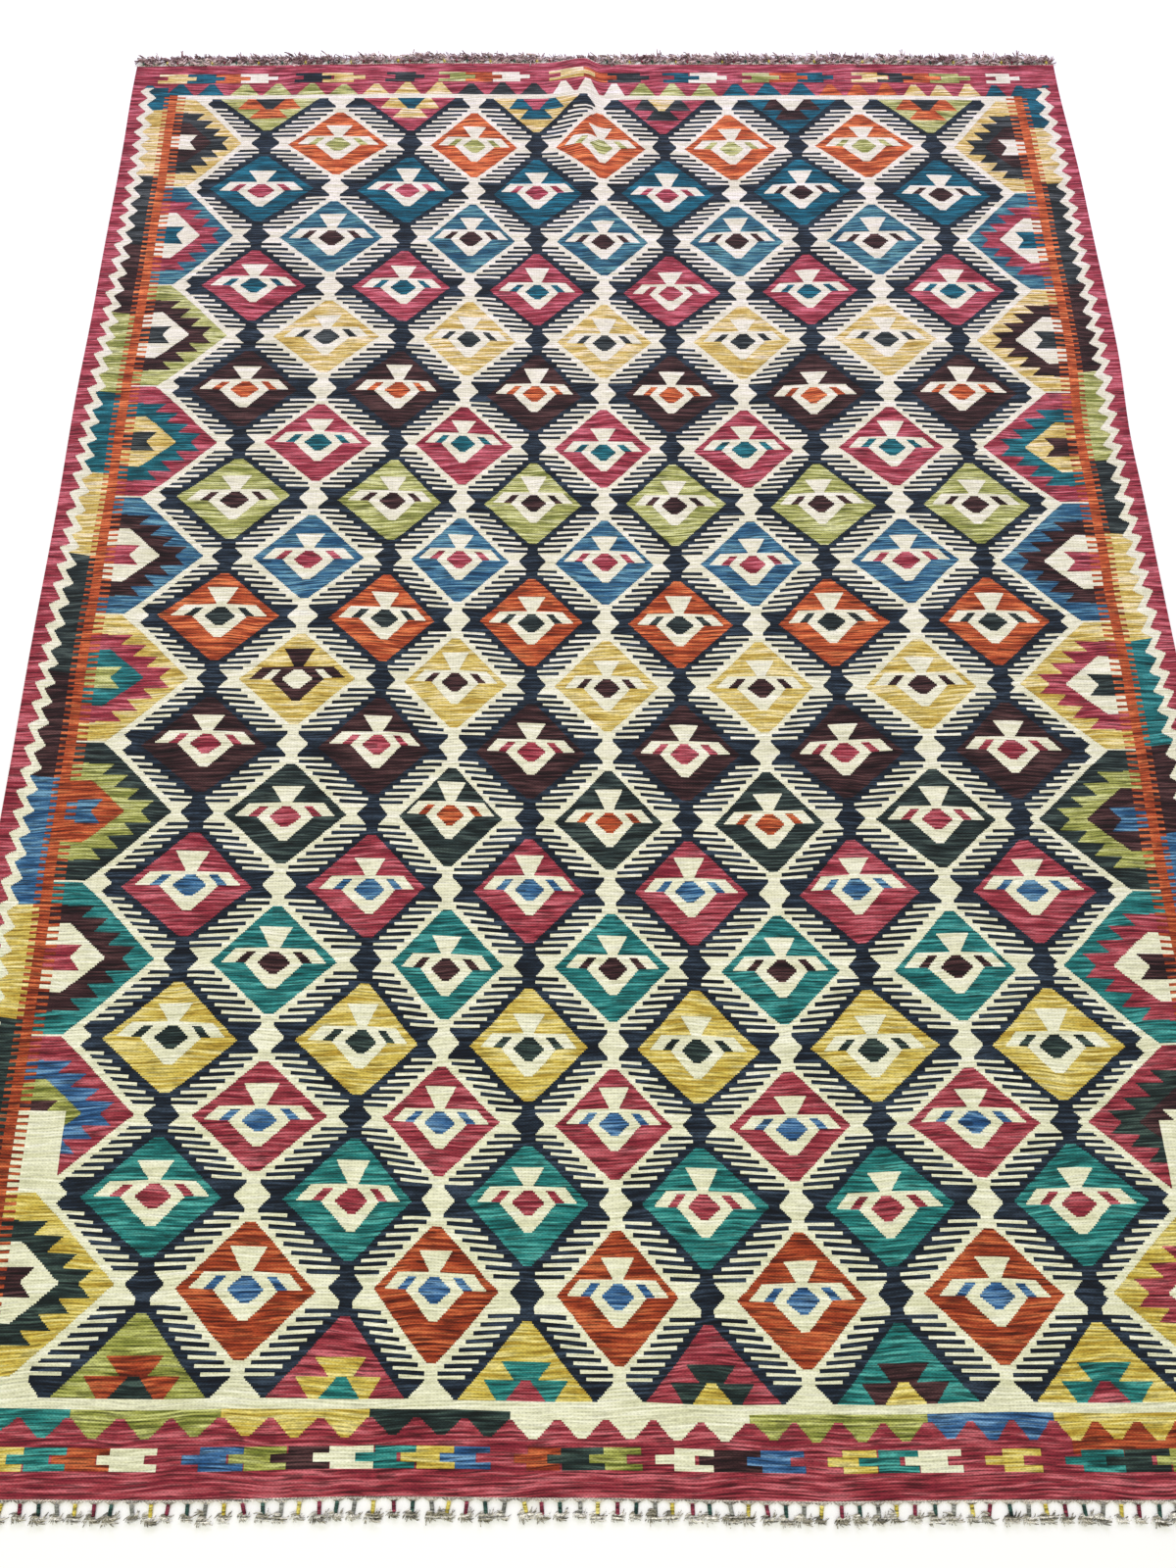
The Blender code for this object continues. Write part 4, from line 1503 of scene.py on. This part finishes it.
# %% Grow both fringes
FRINGE_SEED = 23
fringe = []
for end in ENDS:
    stitches, warps, stems, strands = fringe_copies(end, random.Random(FRINGE_SEED + end.line))
    grown = [grow("twined_edge_" + end.name, points_mesh("stitches", stitches), stitch_tree(TWINED)),
             grow("gathered_warps_" + end.name, points_mesh("warps", warps), warp_tree(WARP_WOOL)),
             grow("tufts_" + end.name, points_mesh("strands", strands), strand_tree(TUFT_WOOLS[end.name]))]
    grown += [grow("wrapping_" + wrap + "_" + end.name, points_mesh("stems", copies),
                   wrapping_tree(WRAP_WOOLS[wrap])) for wrap, copies in stems.items()]
    for piece in grown:
        lay_on_floor(piece.data)
        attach(piece, "root")
        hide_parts("fringe_" + end.name)
    fringe += grown
    print(end.name, "fringe", {piece.name: triangles(piece) for piece in grown})

# %% [markdown]
# ## The selvedges
# At both sides the weft turns round a last, thicker warp, so the rug's long edges are rounded cords.

# %% Selvedge cords
SELVEDGE_RADIUS = 0.0018
SELVEDGE_INSET = 0.0013
SELVEDGE_HEIGHT = 0.00185
SELVEDGE_STEPS = 242


def cord_tree(material):
    """A round cord along each row of joined points."""
    tree, sockets = shape_tree("selvedge_cord", {"Radius": SELVEDGE_RADIUS})
    path = add_node(tree, "GeometryNodeMeshToCurve", {"Mesh": sockets["Geometry"]})
    ring = add_node(tree, "GeometryNodeCurvePrimitiveCircle", {"Resolution": 8, "Radius": sockets["Radius"]})
    tube = add_node(tree, "GeometryNodeCurveToMesh",
                    {"Curve": path.outputs[0], "Profile Curve": ring.outputs[0], "Fill Caps": True})
    soft = add_node(tree, "GeometryNodeSetShadeSmooth", {"Geometry": tube.outputs[0]})
    dressed = add_node(tree, "GeometryNodeSetMaterial", {"Geometry": soft.outputs[0], "Material": material})
    add_node(tree, "NodeGroupOutput", {0: dressed.outputs[0]})
    return tree


paths = bpy.data.meshes.new("selvedge_paths")
path_points = []
for across in (SELVEDGE_INSET, PANEL_WIDTH - SELVEDGE_INSET):
    for step in range(SELVEDGE_STEPS + 1):
        point = loom_point(across, HALF_ROWS * step / SELVEDGE_STEPS)
        path_points.append(point + Vector((0.0, 0.0, SELVEDGE_HEIGHT)))
path_edges = [(number, number + 1) for number in range(2 * SELVEDGE_STEPS + 1) if number != SELVEDGE_STEPS]
paths.from_pydata([tuple(point) for point in path_points], path_edges, [])
selvedges = grow("selvedge_cords", paths, cord_tree(WOOLS[RED]), Radius=SELVEDGE_RADIUS)
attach(selvedges, "root")
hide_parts("kilim_panel")
print("selvedges", triangles(selvedges), "triangles")

# %% [markdown]
# ## The warps
# Inside the cloth run the undyed warps. They show only in the slits, so they are one thin sheet half way
# up.

# %% The sheet of warps
WARP_THICKNESS = 0.0008
WARP_INSET = 0.0012
WARP_INSET_LINES = 0.6
SHEET_COLUMNS = 44
SHEET_ROWS = 120


def warp_sheet():
    """The sheet, cut across where the ridge needs it, so that it follows the cloth above and below it."""
    columns = [PANEL_WIDTH * step / SHEET_COLUMNS for step in range(SHEET_COLUMNS + 1)] + RIDGE_STATIONS
    columns = sorted(min(max(across, WARP_INSET), PANEL_WIDTH - WARP_INSET) for across in columns)
    count = len(columns)
    below = []
    for step in range(SHEET_ROWS + 1):
        line = min(max(HALF_ROWS * step / SHEET_ROWS, WARP_INSET_LINES), HALF_ROWS - WARP_INSET_LINES)
        for across in columns:
            point = loom_point(across, line)
            point.z += 0.5 * (CLOTH_THICKNESS - WARP_THICKNESS)
            below.append(point)
    corners = [step * count + column for step in range(SHEET_ROWS) for column in range(count - 1)]
    faces = [(corner + count, corner + count + 1, corner + 1, corner) for corner in corners]
    mesh = bpy.data.meshes.new("kilim_cloth")
    mesh.from_pydata([tuple(point) for point in below], [], faces)
    piece = bpy.data.objects.new("kilim_cloth", mesh)
    bpy.context.collection.objects.link(piece)
    thicken = piece.modifiers.new("thickness", "SOLIDIFY")
    thicken.thickness = WARP_THICKNESS
    thicken.offset = 1.0
    flat = bpy.data.meshes.new_from_object(piece.evaluated_get(bpy.context.evaluated_depsgraph_get()))
    piece.modifiers.clear()
    piece.data = flat
    flat.shade_smooth()
    return piece


cloth = warp_sheet()
# Painted shade: the warps are darker here than the same wool in the fringe, for the shade down in the slits.
cloth.data.materials.append(wool_material("undyed_warp_wool_slit_shade", "#6E685C", "#8C8574", "#A39B88"))
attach(cloth, "root")
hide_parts("kilim_panel")
print("warps", triangles(cloth), "triangles")

# %% [markdown]
# ## Floor, light and camera
# The rug was photographed on a plain white floor, from a person's height and from just inside its near
# edge.

# %% Floor
FLOOR_REACH = 12.0
floor_mesh = bpy.data.meshes.new("floor")
floor_corners = [(x * FLOOR_REACH, y * FLOOR_REACH, 0.0) for x, y in ((-1, -1), (1, -1), (1, 1), (-1, 1))]
floor_mesh.from_pydata(floor_corners, [], [(0, 1, 2, 3)])
floor = bpy.data.objects.new("floor", floor_mesh)
bpy.context.collection.objects.link(floor)
floor_paint = bpy.data.materials.new("matt_white_floor")
floor_paint.use_nodes = True
shader = floor_paint.node_tree.nodes["Principled BSDF"]
shader.inputs["Base Color"].default_value = linear("#FFFFFF")
shader.inputs["Roughness"].default_value = 0.95
shader.inputs["Specular IOR Level"].default_value = 0.1
floor.data.materials.append(floor_paint)
print("floor", 2.0 * FLOOR_REACH, "m wide")

# %% [markdown]
# The light is soft and even. The room itself gives the most, and two large lamps add to it: a cool one
# beyond the far end, which grazes the ridge, and a warmer one overhead. The Standard view keeps the colours
# of the yarns as they are, where Blender's usual one would grey them.

# %% Light
ROOM_LIGHT = 0.60
world = bpy.data.worlds.new("soft_room")
world.use_nodes = True
room = world.node_tree.nodes["Background"]
room.inputs["Color"].default_value = linear("#FFFFFA")
room.inputs["Strength"].default_value = ROOM_LIGHT
bpy.context.scene.world = world
bpy.context.scene.view_settings.view_transform = "Standard"


def soft_light(name, place, target, size, watts, hex_colour):
    """A large soft lamp that stands at a place and faces a target."""
    lamp = bpy.data.lights.new(name, "AREA")
    lamp.shape = "RECTANGLE"
    lamp.size, lamp.size_y = size
    lamp.energy = watts
    lamp.color = linear(hex_colour)[:3]
    light = bpy.data.objects.new(name, lamp)
    bpy.context.collection.objects.link(light)
    light.location = place
    light.rotation_euler = (Vector(target) - Vector(place)).to_track_quat("-Z", "Y").to_euler()
    print(name, watts, "W")


soft_light("far_window", (0.3, 2.6, 2.6), (0, 0.6, 0), (3.0, 1.6), 66.0, "#DCD4FF")
soft_light("ceiling", (-0.4, -0.6, 3.2), (0, -0.4, 0), (3.0, 3.0), 46.0, "#FFFFE8")

# %% [markdown]
# The camera is worked out and not guessed. The rug's two long edges are parallel, so the place where they
# meet in the picture ties the tilt to the lens, and the rug's own width and length then settle the lens and
# the distance.

# %% Camera
FOCAL_PIXELS = 1202.0
PHOTO_HEIGHT = 1600.0
SENSOR = 36.0
CAMERA_PLACE = Vector((-0.0305, -0.8717, 1.568))
CAMERA_RIGHT = Vector((0.99997, -0.00828, 0.0))
CAMERA_UP = Vector((0.00773, 0.93365, 0.35810))
camera_data = bpy.data.cameras.new("camera")
camera_data.sensor_fit = "VERTICAL"
camera_data.sensor_height = SENSOR
camera_data.lens = SENSOR * FOCAL_PIXELS / PHOTO_HEIGHT
camera = bpy.data.objects.new("camera", camera_data)
bpy.context.collection.objects.link(camera)
turn = Matrix((CAMERA_RIGHT, CAMERA_UP, CAMERA_RIGHT.cross(CAMERA_UP))).transposed().to_4x4()
camera.matrix_world = Matrix.Translation(CAMERA_PLACE + CENTRING) @ turn
bpy.context.scene.camera = camera
print("camera at", [round(value, 3) for value in camera.matrix_world.translation], "lens", camera_data.lens)
